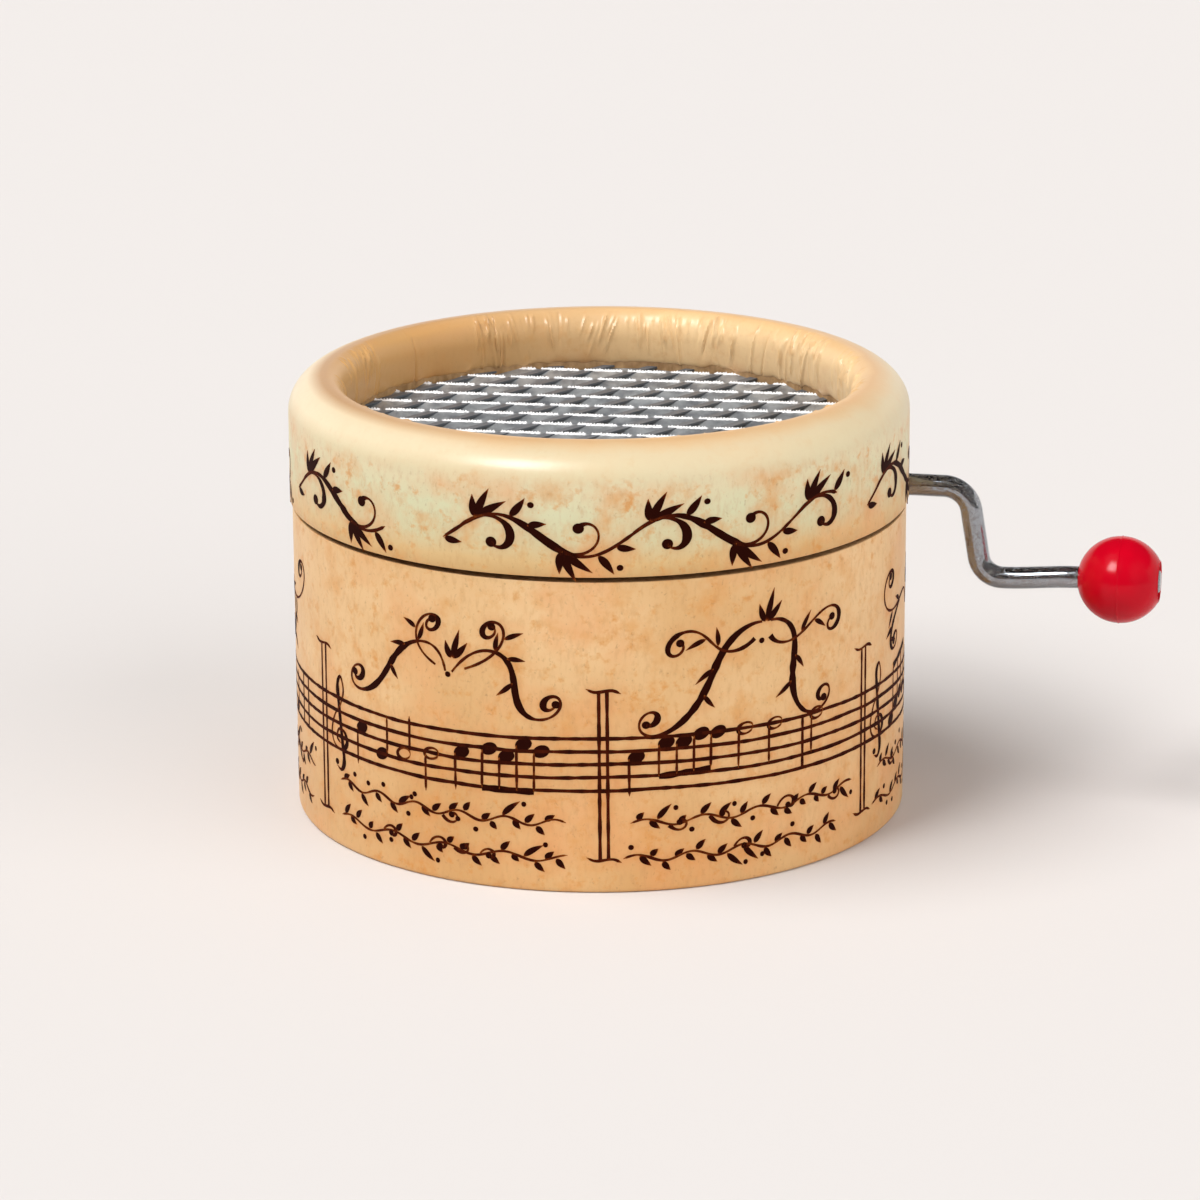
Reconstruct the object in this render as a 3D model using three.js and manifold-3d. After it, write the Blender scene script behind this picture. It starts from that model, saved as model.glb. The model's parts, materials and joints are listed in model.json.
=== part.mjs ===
// Hand crank music box in a round, paper-covered can. Millimetres, +Z up.
// The origin is the centre of the underside. +X runs along the crank's axis, out of the case.
import * as THREE from "three";
import { mergeVertices } from "three/addons/utils/BufferGeometryUtils.js";
import Module from "manifold-3d";

const wasm = await Module();
wasm.setup();

// Driving dimensions of the can
const caseRadius = 27.5; // outside of the paper on the body
const seamHeight = 28.05; // middle of the parting line, and the height of the crank's axis
const seamGap = 0.4; // open width of the parting line
const lidRise = 11.45; // from the middle of the parting line to the top of the rim
const lidStep = 0.2; // the lid stands this much proud of the body
const bodyWall = 1.5;
const neckWall = 1.4;
const paperThickness = 0.2;
const glueGap = 0.05; // between a piece and the one it is glued, pressed or screwed to
const slipFit = 0.15; // between the neck and the tubes that slide on it
const grilleDepth = 6.1; // from the top of the rim down to the grille

// Driving dimensions of the crank
const wireRadius = 1;
const crankOffset = 8.5; // the crank's axis lies this far behind the middle of the can
const crankThrow = 7.9;
const beadRadius = 3.95;
const beadReach = 46.1; // from the middle of the can to the middle of the bead

// Driving dimensions of the movement
const drumRadius = 6.5;
const toothCount = 18;
const toothPitch = 0.95;
const wheelTeeth = 20;
const wheelPitchRadius = 6.2;
const wormPitchRadius = 2.05;
const arborRadius = 1;
const sheetThickness = 1; // of the bent steel frames
const bedThickness = 1.5;

// Fits and shared small sizes
const runningFit = 0.05; // radial, between a shaft and its bush
const knobFit = 0.09; // radial, between the bead and the wire
const weldDistance = 1e-4; // corners closer than this are one
const cutOverrun = 1; // how far a cutter runs past the faces that it cuts
const canSides = 56;
const boreSides = 16;
const screwSides = 12;

// Heights and radii that follow from the driving dimensions
const lidTop = seamHeight + lidRise;
const lidBottom = seamHeight + seamGap / 2;
const bodyTop = seamHeight - seamGap / 2;
const skin = paperThickness + glueGap;
const bodyTubeRadius = caseRadius - skin;
const bodyBore = bodyTubeRadius - bodyWall;
const neckRadius = bodyBore - slipFit;
const neckBore = neckRadius - neckWall;
const lidRadius = caseRadius + lidStep;
const skirtBore = neckRadius + slipFit;
const grilleTop = lidTop - grilleDepth;
const drumHeight = seamHeight - wormPitchRadius - wheelPitchRadius;

// Colours and finishes
const finishes = {
  printedPaper: { color: 0xe5bc88, roughness: 0.62, metalness: 0 },
  board: { color: 0xb89468, roughness: 0.9, metalness: 0 },
  wood: { color: 0xc79a63, roughness: 0.7, metalness: 0 },
  nickel: { color: 0xc9cacd, roughness: 0.22, metalness: 1 },
  steel: { color: 0x9b9ea3, roughness: 0.35, metalness: 1 },
  brass: { color: 0xc9a24a, roughness: 0.3, metalness: 1 },
  zinc: { color: 0xa8a9ab, roughness: 0.45, metalness: 1 },
  lead: { color: 0x6d7076, roughness: 0.6, metalness: 1 },
  whiteNylon: { color: 0xe9e6dc, roughness: 0.5, metalness: 0 },
  redPlastic: { color: 0xd40018, roughness: 0.12, metalness: 0 },
};

const musicBox = new THREE.Group();

function group(parent, x, y, z) {
  const made = new THREE.Group();
  made.position.set(x, y, z);
  parent.add(made);
  return made;
}

function addPiece(parent, name, shape, finish) {
  const geometry = shape.isBufferGeometry ? shape : toGeometry(shape);
  const mesh = new THREE.Mesh(geometry, new THREE.MeshStandardMaterial(finishes[finish]));
  mesh.name = name;
  parent.add(mesh);
  return mesh;
}

// A closed mesh as a solid, so that it can be cut and joined.
function toSolid(shape) {
  if (!shape.isBufferGeometry) return shape;
  const bare = shape.index ? shape.toNonIndexed() : shape.clone();
  for (const name of Object.keys(bare.attributes)) {
    if (name !== "position") bare.deleteAttribute(name);
  }
  const merged = mergeVertices(bare, weldDistance);
  return new wasm.Manifold(
    new wasm.Mesh({
      numProp: 3,
      vertProperties: merged.attributes.position.array,
      triVerts: new Uint32Array(merged.index.array),
    }),
  );
}

function toGeometry(solid) {
  const { vertProperties, triVerts } = solid.getMesh();
  const geometry = new THREE.BufferGeometry();
  geometry.setAttribute("position", new THREE.BufferAttribute(vertProperties, 3));
  geometry.setIndex(new THREE.BufferAttribute(triVerts, 1));
  geometry.computeVertexNormals();
  return geometry;
}

// Both of these give a solid.
function join(shapes) {
  return shapes.map(toSolid).reduce((whole, piece) => whole.add(piece));
}

function cut(shape, cutters) {
  return cutters.map(toSolid).reduce((left, cutter) => left.subtract(cutter), toSolid(shape));
}

// A profile of [radius, height] points, anticlockwise with the radius to the right, turned about Z.
function turned(profile, sides) {
  const points = profile.map(([radius, height]) => new THREE.Vector2(radius, height));
  return new THREE.LatheGeometry(points, sides).rotateX(Math.PI / 2);
}

// A turned ring, whose profile closes on itself.
function turnedRing(profile, sides) {
  return turned([...profile, profile[0]], sides);
}

// A tube wall between two radii and two heights.
function tubeWall(inner, outer, low, high, sides) {
  return turnedRing(
    [
      [inner, low],
      [outer, low],
      [outer, high],
      [inner, high],
    ],
    sides,
  );
}

function rod(radius, low, high, sides) {
  return turned(
    [
      [0, low],
      [radius, low],
      [radius, high],
      [0, high],
    ],
    sides,
  );
}

// The corner radius of a bore whose flat sides clear a round shaft by the given fit.
function boreFor(shaftRadius, fit, sides) {
  return (shaftRadius + fit) / Math.cos(Math.PI / sides);
}

function alongX(geometry) {
  return geometry.rotateY(Math.PI / 2);
}

function alongY(geometry) {
  return geometry.rotateX(-Math.PI / 2);
}

// Points of an elliptical arc, from one angle to another, both ends included.
function arcPoints(centreRadius, centreHeight, reach, drop, from, to, steps) {
  const points = [];
  for (let step = 0; step <= steps; step++) {
    const angle = from + ((to - from) * step) / steps;
    points.push([
      centreRadius + reach * Math.cos(angle),
      centreHeight + drop * Math.sin(angle),
    ]);
  }
  return points;
}

function block(lowX, highX, lowY, highY, lowZ, highZ) {
  return new THREE.BoxGeometry(highX - lowX, highY - lowY, highZ - lowZ).translate(
    (lowX + highX) / 2,
    (lowY + highY) / 2,
    (lowZ + highZ) / 2,
  );
}

function outline(points) {
  return new THREE.Shape(points.map(([x, y]) => new THREE.Vector2(x, y)));
}

function extruded(shape, thickness) {
  return new THREE.ExtrudeGeometry(shape, { depth: thickness, bevelEnabled: false });
}

// A plate that stands up from a straight foot and ends in a half round.
function roundTopShape(halfWidth, low, centreHeight, arcSteps) {
  const top = arcPoints(0, centreHeight, halfWidth, halfWidth, 0, Math.PI, arcSteps);
  return outline([[-halfWidth, low], [halfWidth, low], ...top]);
}

// Can body
const edgeRound = 0.35; // on the turned edges of the paper
const edgeSteps = 2;
const turnUnder = 1.4; // how far the paper turns in under the tube
const baseThickness = 2;
const baseFit = 0.1;
const notchFit = 0.35; // radial, round the crank's wire

// The paper on the body is turned in under the tube at the foot.
function bodyWrapProfile() {
  const outer = caseRadius;
  const inner = caseRadius - paperThickness;
  const lip = outer - turnUnder;
  const foot = arcPoints(
    outer - edgeRound,
    edgeRound,
    edgeRound,
    edgeRound,
    -Math.PI / 2,
    0,
    edgeSteps,
  );
  return [
    [lip, 0],
    ...foot,
    [outer, bodyTop],
    [inner, bodyTop],
    [inner, paperThickness],
    [lip, paperThickness],
  ];
}

function crankNotch(low, high) {
  const radius = wireRadius + notchFit;
  const hole = alongX(rod(radius, 0, lidRadius + cutOverrun, boreSides)).translate(
    0,
    crankOffset,
    seamHeight,
  );
  if (high <= low) return [hole];
  const slot = block(
    0,
    lidRadius + cutOverrun,
    crankOffset - radius,
    crankOffset + radius,
    low,
    high,
  );
  return [hole, slot];
}

// The board disc has two holes for the countersunk screws that come up from below.
const screwSpread = 12; // from the middle to each screw that holds the movement
const screwLine = -3; // these screws stand this far in front of the middle
const movementScrewRadius = 1.2;
const movementHeadRadius = 2.3;
const movementHeadSink = 0.3;
const screwFit = 0.1;

function movementScrewProfile(fit, sink, top) {
  const head = movementHeadRadius + fit;
  const shank = movementScrewRadius + fit;
  const low = movementHeadSink - sink;
  const cone = movementHeadRadius - movementScrewRadius;
  return [
    [0, low],
    [head, low],
    [head, movementHeadSink],
    [shank, movementHeadSink + cone],
    [shank, top],
    [0, top],
  ];
}

function movementScrewPlaces() {
  return [-1, 1].map((side) => [side * screwSpread, screwLine]);
}

function screwHoles(top) {
  const profile = movementScrewProfile(screwFit, movementHeadSink + cutOverrun, top);
  return movementScrewPlaces().map(([x, y]) => turned(profile, screwSides).translate(x, y, 0));
}

const drumClearance = 0.7; // from the pins down to the bedplate
const pinHeight = 0.6;
const bedTop = drumHeight - drumRadius - pinHeight - drumClearance;
const bedBottom = bedTop - bedThickness;

function addBody() {
  const wrap = cut(turnedRing(bodyWrapProfile(), canSides), crankNotch(0, 0));
  addPiece(musicBox, "body_wrap", wrap, "printedPaper");
  const tube = tubeWall(bodyBore, bodyTubeRadius, skin, bodyTop - glueGap, canSides);
  addPiece(musicBox, "body_tube", cut(tube, crankNotch(0, 0)), "board");
  const base = rod(bodyBore - baseFit, 0, baseThickness, canSides);
  addPiece(musicBox, "base_disc", cut(base, screwHoles(baseThickness + cutOverrun)), "board");
  const neckLow = baseThickness + glueGap;
  const neckTop = ringBottom - glueGap;
  const neck = tubeWall(neckBore, neckRadius, neckLow, neckTop, canSides);
  const neckNotch = crankNotch(seamHeight, neckTop + cutOverrun);
  addPiece(musicBox, "neck_tube", cut(neck, neckNotch), "board");
  const wood = rod(neckBore - slipFit, neckLow, bedBottom - glueGap, canSides);
  addPiece(musicBox, "resonance_block", cut(wood, screwHoles(bedTop)), "wood");
}

// Lid with its rolled rim
const rimRidgeInset = 3.5; // from the outside of the lid in to the top of the rim
const rimOuterDrop = 3.2;
const rimInnerReach = 1.6; // from the top of the rim in to its narrowest place
const rimInnerDrop = 2.6;
const rimUnderReach = 2.4; // from the narrowest place back out to the grille
const rimSteps = 3;
const ledgeWidth = 0.75;
const grilleThickness = 0.5;
const ringThickness = 0.5;
const ringWidth = 1.7;
const ringBottom = grilleTop - grilleThickness - glueGap - ringThickness;

// The rim's section, set in from the outside of the paper by the given depth.
function rimPoints(depth) {
  const ridge = lidRadius - rimRidgeInset;
  const outerMiddle = lidTop - rimOuterDrop;
  const innerMiddle = lidTop - rimInnerDrop;
  const underMiddle = ridge - rimInnerReach + rimUnderReach;
  const underDrop = innerMiddle - grilleTop - glueGap;
  const outer = arcPoints(
    ridge,
    outerMiddle,
    rimRidgeInset - depth,
    rimOuterDrop - depth,
    0,
    Math.PI / 2,
    rimSteps,
  );
  const inner = arcPoints(
    ridge,
    innerMiddle,
    rimInnerReach - depth,
    rimInnerDrop - depth,
    Math.PI / 2,
    Math.PI,
    rimSteps,
  );
  const under = arcPoints(
    underMiddle,
    innerMiddle,
    rimUnderReach - depth,
    underDrop - depth,
    Math.PI,
    (Math.PI * 3) / 2,
    rimSteps,
  );
  return [...outer, ...inner.slice(1), ...under.slice(1)];
}

function addLid() {
  const lid = group(musicBox, 0, 0, 0);
  const outside = rimPoints(0);
  const inside = rimPoints(paperThickness).reverse();
  const edge = arcPoints(
    lidRadius - edgeRound,
    lidBottom + edgeRound,
    edgeRound,
    edgeRound,
    -Math.PI / 4,
    0,
    edgeSteps,
  );
  const wrapInner = lidRadius - paperThickness;
  const wrapProfile = [[wrapInner, edge[0][1]], ...edge, ...outside, ...inside];
  const wrap = cut(turnedRing(wrapProfile, canSides), crankNotch(0, 0));
  addPiece(lid, "lid_wrap", wrap, "printedPaper");

  const rim = rimPoints(skin);
  const ledge = grilleTop + glueGap;
  const lip = skirtBore - ledgeWidth;
  const tubeProfile = [
    [skirtBore, lidBottom + glueGap],
    [lidRadius - skin, lidBottom + glueGap],
    ...rim,
    [lip + glueGap, rim[rim.length - 1][1]],
    [lip + glueGap, ledge],
    [skirtBore, ledge],
  ];
  addPiece(lid, "lid_tube", cut(turnedRing(tubeProfile, canSides), crankNotch(0, 0)), "board");

  const netRadius = skirtBore - baseFit;
  const net = grilleNet(netRadius).translate(0, 0, grilleTop - grilleThickness);
  addPiece(lid, "grille", net, "steel");
  const ring = tubeWall(
    netRadius - ringWidth,
    netRadius,
    ringBottom,
    ringBottom + ringThickness,
    canSides,
  );
  addPiece(lid, "grille_ring", ring, "board");
}

// Grille of expanded metal: a lattice of leaning diamonds inside a plain border
const strandPitch = 4.08;
const strandWidth = 1.1;
const borderWidth = 1;
const firstStrandAngle = THREE.MathUtils.degToRad(4.3);
const secondStrandAngle = THREE.MathUtils.degToRad(58.8);
const latticeShiftShares = [0, 0.39]; // of one step of the lattice
const leastGapArea = 0.6;
const leastEdge = 0.05; // of an outline that is clipped to a circle

function latticeVector(angle) {
  return [strandPitch * Math.cos(angle), strandPitch * Math.sin(angle)];
}

// The part of a convex polygon that lies inside a circle drawn with straight sides.
function clippedToCircle(polygon, radius) {
  let kept = polygon;
  for (let side = 0; side < canSides; side++) {
    const angle = ((side + 0.5) * 2 * Math.PI) / canSides;
    const normal = [Math.cos(angle), Math.sin(angle)];
    const limit = radius * Math.cos(Math.PI / canSides);
    const depths = kept.map(([x, y]) => limit - x * normal[0] - y * normal[1]);
    const next = [];
    kept.forEach((point, index) => {
      const after = (index + 1) % kept.length;
      if (depths[index] >= 0) next.push(point);
      if (depths[index] >= 0 !== depths[after] >= 0) {
        const share = depths[index] / (depths[index] - depths[after]);
        next.push([
          point[0] + (kept[after][0] - point[0]) * share,
          point[1] + (kept[after][1] - point[1]) * share,
        ]);
      }
    });
    kept = next;
  }
  return kept.filter(([x, y], index) => {
    const [nextX, nextY] = kept[(index + 1) % kept.length];
    return Math.hypot(nextX - x, nextY - y) > leastEdge;
  });
}

function grilleNet(radius) {
  const first = latticeVector(firstStrandAngle);
  const second = latticeVector(secondStrandAngle);
  const crossing = Math.sin(secondStrandAngle - firstStrandAngle);
  const openShare = 1 - strandWidth / (strandPitch * crossing);
  const corners = [
    [-1, -1],
    [1, -1],
    [1, 1],
    [-1, 1],
  ];
  const disc = [];
  for (let side = 0; side < canSides; side++) {
    const angle = (side * 2 * Math.PI) / canSides;
    disc.push([radius * Math.cos(angle), radius * Math.sin(angle)]);
  }
  const gaps = [];
  const reach = Math.ceil((radius / strandPitch) * 2);
  for (let i = -reach; i <= reach; i++) {
    for (let j = -reach; j <= reach; j++) {
      const a = i + latticeShiftShares[0];
      const b = j + latticeShiftShares[1];
      const gap = corners.map(([s, t]) => [
        first[0] * (a + (s * openShare) / 2) + second[0] * (b + (t * openShare) / 2),
        first[1] * (a + (s * openShare) / 2) + second[1] * (b + (t * openShare) / 2),
      ]);
      const open = clippedToCircle(gap, radius - borderWidth);
      const points = open.map(([x, y]) => new THREE.Vector2(x, y));
      if (points.length > 2 && Math.abs(THREE.ShapeUtils.area(points)) > leastGapArea) {
        const depth = grilleThickness + cutOverrun * 2;
        gaps.push(extruded(new THREE.Shape(points), depth).translate(0, 0, -cutOverrun));
      }
    }
  }
  return toGeometry(cut(extruded(outline(disc), grilleThickness), gaps));
}

// Cheese-head screw with a slot, standing on the plane z = 0 with its shank below
const headRadius = 1.5;
const headHeight = 1;
const shankRadius = 0.8;
const slotWidth = 0.4;
const slotDepth = 0.5;

function cheeseScrew(shankLength) {
  const body = turned(
    [
      [0, -shankLength],
      [shankRadius, -shankLength],
      [shankRadius, 0],
      [headRadius, 0],
      [headRadius, headHeight],
      [0, headHeight],
    ],
    screwSides,
  );
  const slot = screwSlot(headRadius, headHeight - slotDepth, headHeight + cutOverrun);
  return toGeometry(cut(body, [slot]));
}

function screwSlot(reach, low, high) {
  return block(-reach - cutOverrun, reach + cutOverrun, -slotWidth / 2, slotWidth / 2, low, high);
}

// Bedplate: a rectangular plate on the wooden block, with its corners rounded to the neck
const bedEdge = 1.6; // from the neck in to the rounded corners
const bedFront = 19; // the plate's straight edges lie this far from the middle
const bedBack = 15.5;
const bedCombSide = 18.5;
const bedCrankSide = 16.5;

function bedShape() {
  const corners = [
    [-bedCombSide, -bedFront],
    [bedCrankSide, -bedFront],
    [bedCrankSide, bedBack],
    [-bedCombSide, bedBack],
  ];
  return outline(clippedToCircle(corners, neckBore - bedEdge));
}

// Comb: its teeth point at the drum, and its land is screwed to a brass base
const tipClearance = 0.15; // from the teeth to the pins' circle
const toothGap = 0.25;
const bassToothLength = 6.4;
const trebleToothLength = 4.4;
const combLand = 3.5;
const combThickness = 0.8;
const combMargin = 0.15; // plain steel outside the first and last teeth
const baseSetBack = 0.5; // the brass base stays this far behind the longest tooth's root
const combScrewShares = [0.22, 0.78];
const weightCount = 5;
const weightLength = 2.2;
const weightHeight = 1.1;

const drumFront = -12.4; // the drum's front end, along Y
const drumMargin = 0.35; // plain drum outside the first and last rows of pins
const combFront = drumFront + drumMargin;
const combLength = toothCount * toothPitch;
const drumLength = combLength + drumMargin * 2;
const tipX = -(drumRadius + pinHeight + tipClearance);
const combBackX = tipX - bassToothLength - combLand;

function toothMiddle(index) {
  return combFront + (index + 1 / 2) * toothPitch;
}

function combShape() {
  const points = [
    [combBackX, combFront + combLength + combMargin],
    [combBackX, combFront - combMargin],
  ];
  for (let index = 0; index < toothCount; index++) {
    const share = index / (toothCount - 1);
    const length = bassToothLength + (trebleToothLength - bassToothLength) * share;
    const halfTooth = (toothPitch - toothGap) / 2;
    const low = toothMiddle(index) - halfTooth;
    const high = toothMiddle(index) + halfTooth;
    if (index === 0) points.push([tipX - length, combFront - combMargin]);
    points.push([tipX - length, low], [tipX, low], [tipX, high], [tipX - length, high]);
  }
  points.push([tipX - trebleToothLength, combFront + combLength + combMargin]);
  return outline(points);
}

function addComb(movement) {
  const combBottom = drumHeight - combThickness / 2;
  const combTop = combBottom + combThickness;
  const screwX = combBackX + combLand / 2;
  const screwY = combScrewShares.map((share) => combFront + combLength * share);
  const baseLow = bedTop + glueGap;
  const baseHigh = combBottom - glueGap;
  const shankHole = (y) =>
    rod(shankRadius + screwFit, baseLow - cutOverrun, combTop + cutOverrun, screwSides).translate(
      screwX,
      y,
      0,
    );
  // Like the bedplate, the comb and its base keep clear of the neck, however narrow the can is.
  const nearNeck = tubeWall(
    neckBore - bedEdge,
    lidRadius,
    baseLow - cutOverrun,
    combTop + cutOverrun,
    canSides,
  );
  const combCutters = [...screwY.map(shankHole), nearNeck];
  const plate = extruded(combShape(), combThickness).translate(0, 0, combBottom);
  addPiece(movement, "comb", cut(plate, combCutters), "steel");
  const base = block(
    combBackX,
    combBackX + combLand - baseSetBack,
    combFront - combMargin,
    combFront + combLength + combMargin,
    baseLow,
    baseHigh,
  );
  addPiece(movement, "comb_base", cut(base, combCutters), "brass");
  screwY.forEach((y, index) => {
    const screw = cheeseScrew(combTop - baseLow).translate(screwX, y, combTop + glueGap);
    addPiece(movement, "comb_screw_" + (index + 1), screw, "nickel");
  });
  for (let index = 0; index < weightCount; index++) {
    const halfTooth = (toothPitch - toothGap) / 2;
    const y = toothMiddle(index);
    const high = combBottom - glueGap;
    const low = high - weightHeight * (1 - index / (weightCount * 2));
    const weight = block(tipX - weightLength, tipX, y - halfTooth, y + halfTooth, low, high);
    addPiece(movement, "tuning_weight_" + (index + 1), weight, "lead");
  }
}

// Drum: a brass tube with steel pins, carried on an arbor by two end caps
const drumWall = 0.8;
const pinRadius = 0.2;
const pinRoot = 0.4; // how deep a pin sits in the wall
const pinSides = 4;
const pinsPerRow = 4;
const pinStepShare = 0.382; // of the spacing of a row's pins, from one row to the next
const drumSides = 24;
const capThickness = 1.2;
const capFit = 0.05;
const bracketGap = 1.8; // from the drum's front end to its bracket
const collarFit = 0.15; // along the arbor
const collarRadius = 1.9;
const arborTail = 1; // how far the arbor stands out past its bearings
const clipThickness = 0.5;
const clipRadius = 2.1;
const bushRadius = 1.65;
const bushFlangeRadius = 2.2;
const bushFlange = 0.4;

// Worm wheel and worm
const wheelWidth = 3;
const frameGap = 1.2; // from the wheel back to the frame that carries the arbor
const wheelAddendum = 0.5;
const wheelDedendum = 0.7;
const wheelTipShare = 0.2; // of the tooth spacing
const wheelFootShare = 0.42;
const wormRootRadius = 1.45;
const wormTipRadius = 2.5;
const wormTurns = 3;
const wormStepsPerTurn = 7;
const wormSides = 20;
const threadTipShare = 0.09;
const threadFootShare = 0.23;

const lead = (2 * Math.PI * wheelPitchRadius) / wheelTeeth;
const drumBack = drumFront + drumLength;
const wheelFront = crankOffset - wheelWidth / 2;
const frameBackFace = wheelFront + wheelWidth + frameGap + sheetThickness;

// The arbor's bearings stand at these places along Y.
const bracketBack = drumFront - bracketGap;
const bracketFront = bracketBack - sheetThickness;

function pin(row, index) {
  const share = (index + ((row * pinStepShare) % 1)) / pinsPerRow;
  const angle = share * 2 * Math.PI;
  return rod(pinRadius, drumRadius - pinRoot, drumRadius + pinHeight, pinSides)
    .rotateY(angle)
    .translate(0, toothMiddle(row), 0);
}

function addDrum() {
  const drum = group(musicBox, 0, 0, drumHeight);
  const tube = alongY(
    tubeWall(drumRadius - drumWall, drumRadius, drumFront, drumBack, drumSides),
  );
  const pins = [];
  for (let row = 0; row < toothCount; row++) {
    for (let index = 0; index < pinsPerRow; index++) pins.push(pin(row, index));
  }
  addPiece(drum, "drum", join([tube, ...pins]), "brass");

  const bore = boreFor(arborRadius, runningFit, boreSides);
  const capRadius = drumRadius - drumWall - capFit * 2;
  const ringOnArbor = (outer, low, high, sides) =>
    alongY(tubeWall(bore, outer, low, high, sides));
  const frontCap = ringOnArbor(capRadius, drumFront + capFit, drumFront + capThickness, boreSides);
  addPiece(drum, "drum_cap_front", frontCap, "brass");
  const backCap = ringOnArbor(capRadius, drumBack - capThickness, drumBack - capFit, boreSides);
  addPiece(drum, "drum_cap_back", backCap, "brass");

  const frameFront = frameBackFace - sheetThickness;
  const arborLow = bracketFront - arborTail;
  const arborHigh = frameBackFace + clipThickness + arborTail;
  addPiece(drum, "drum_arbor", alongY(rod(arborRadius, arborLow, arborHigh, boreSides)), "steel");

  const frontCollar = ringOnArbor(
    collarRadius,
    bracketBack + bushFlange + collarFit,
    drumFront - collarFit,
    boreSides,
  );
  addPiece(drum, "arbor_collar_front", frontCollar, "brass");
  const backCollar = ringOnArbor(
    collarRadius,
    wheelFront + wheelWidth + collarFit,
    frameFront - bushFlange - collarFit,
    boreSides,
  );
  addPiece(drum, "arbor_collar_back", backCollar, "brass");
  const clip = ringOnArbor(
    clipRadius,
    frameBackFace + collarFit,
    frameBackFace + collarFit + clipThickness,
    boreSides,
  );
  addPiece(drum, "arbor_clip", clip, "steel");
  addPiece(drum, "worm_wheel", wheelGeometry(bore), "whiteNylon");
}

// The wheel's teeth lean across its width as the worm's thread does.
function wheelGeometry(bore) {
  const spacing = (2 * Math.PI) / wheelTeeth;
  const tip = wheelPitchRadius + wheelAddendum;
  const root = wheelPitchRadius - wheelDedendum;
  const points = [];
  for (let tooth = 0; tooth < wheelTeeth; tooth++) {
    const middle = Math.PI / 2 + tooth * spacing;
    const corners = [
      [root, -wheelFootShare],
      [tip, -wheelTipShare],
      [tip, wheelTipShare],
      [root, wheelFootShare],
    ];
    for (const [radius, share] of corners) {
      const angle = middle + (share * spacing) / 2;
      points.push([radius * Math.cos(angle), radius * Math.sin(angle)]);
    }
  }
  const shape = outline(points);
  const hole = [];
  for (let side = 0; side < boreSides; side++) {
    const angle = (side * 2 * Math.PI) / boreSides;
    hole.push(new THREE.Vector2(bore * Math.cos(angle), bore * Math.sin(angle)));
  }
  shape.holes.push(new THREE.Path(hole));
  const wheel = extruded(shape, wheelWidth).rotateX(Math.PI / 2);
  wheel.translate(0, wheelWidth / 2, 0);
  const lean = lead / (2 * Math.PI * wormPitchRadius) / wheelPitchRadius;
  const place = wheel.attributes.position;
  for (let index = 0; index < place.count; index++) {
    const turn = place.getY(index) * lean;
    const x = place.getX(index);
    const z = place.getZ(index);
    place.setX(index, x * Math.cos(turn) + z * Math.sin(turn));
    place.setZ(index, z * Math.cos(turn) - x * Math.sin(turn));
  }
  return wheel.translate(0, crankOffset, 0);
}

// A right-handed worm: each corner of a plain tube is moved out to the thread.
function wormGeometry() {
  const bore = boreFor(wireRadius, runningFit, wormSides);
  const rings = wormTurns * wormStepsPerTurn;
  const half = (wormTurns * lead) / 2;
  const profile = [[bore, -half]];
  for (let ring = 0; ring <= rings; ring++) {
    profile.push([wormRootRadius, -half + (ring * 2 * half) / rings]);
  }
  profile.push([bore, half]);
  const worm = alongX(turnedRing(profile, wormSides));
  const place = worm.attributes.position;
  for (let index = 0; index < place.count; index++) {
    const x = place.getX(index);
    const y = place.getY(index);
    const z = place.getZ(index);
    const radius = Math.hypot(y, z);
    if (radius < (bore + wormRootRadius) / 2) continue;
    const turn = (Math.atan2(z, y) + Math.PI / 2) / (2 * Math.PI);
    const along = x / lead - turn;
    const fromThread = Math.abs(along - Math.floor(along) - 1 / 2);
    const rise = THREE.MathUtils.clamp(
      (threadFootShare - fromThread) / (threadFootShare - threadTipShare),
      0,
      1,
    );
    const grown = wormRootRadius + (wormTipRadius - wormRootRadius) * rise;
    place.setY(index, (y / radius) * grown);
    place.setZ(index, (z / radius) * grown);
  }
  return worm;
}

// Frame of bent sheet steel: a back plate for the drum's arbor and two ears for the crank
const earInside = 8.5; // from the middle to the inner face of each ear
const earReach = 2.7; // the ears end this far round the crank's axis
const backPlateReach = 3.4; // the back plate ends this far round the arbor
const footLength = 4.6;
const footWidth = 5;
const bendSteps = 8;

function bushHole(low, high) {
  return rod(bushRadius + runningFit, low, high, boreSides);
}

// A flanged brass bush whose flange is on the low side.
function bush(length, shaft) {
  const bore = boreFor(shaft, runningFit, boreSides);
  return turnedRing(
    [
      [bore, -bushFlange],
      [bushFlangeRadius, -bushFlange],
      [bushFlangeRadius, 0],
      [bushRadius, 0],
      [bushRadius, length],
      [bore, length],
    ],
    boreSides,
  );
}

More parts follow.
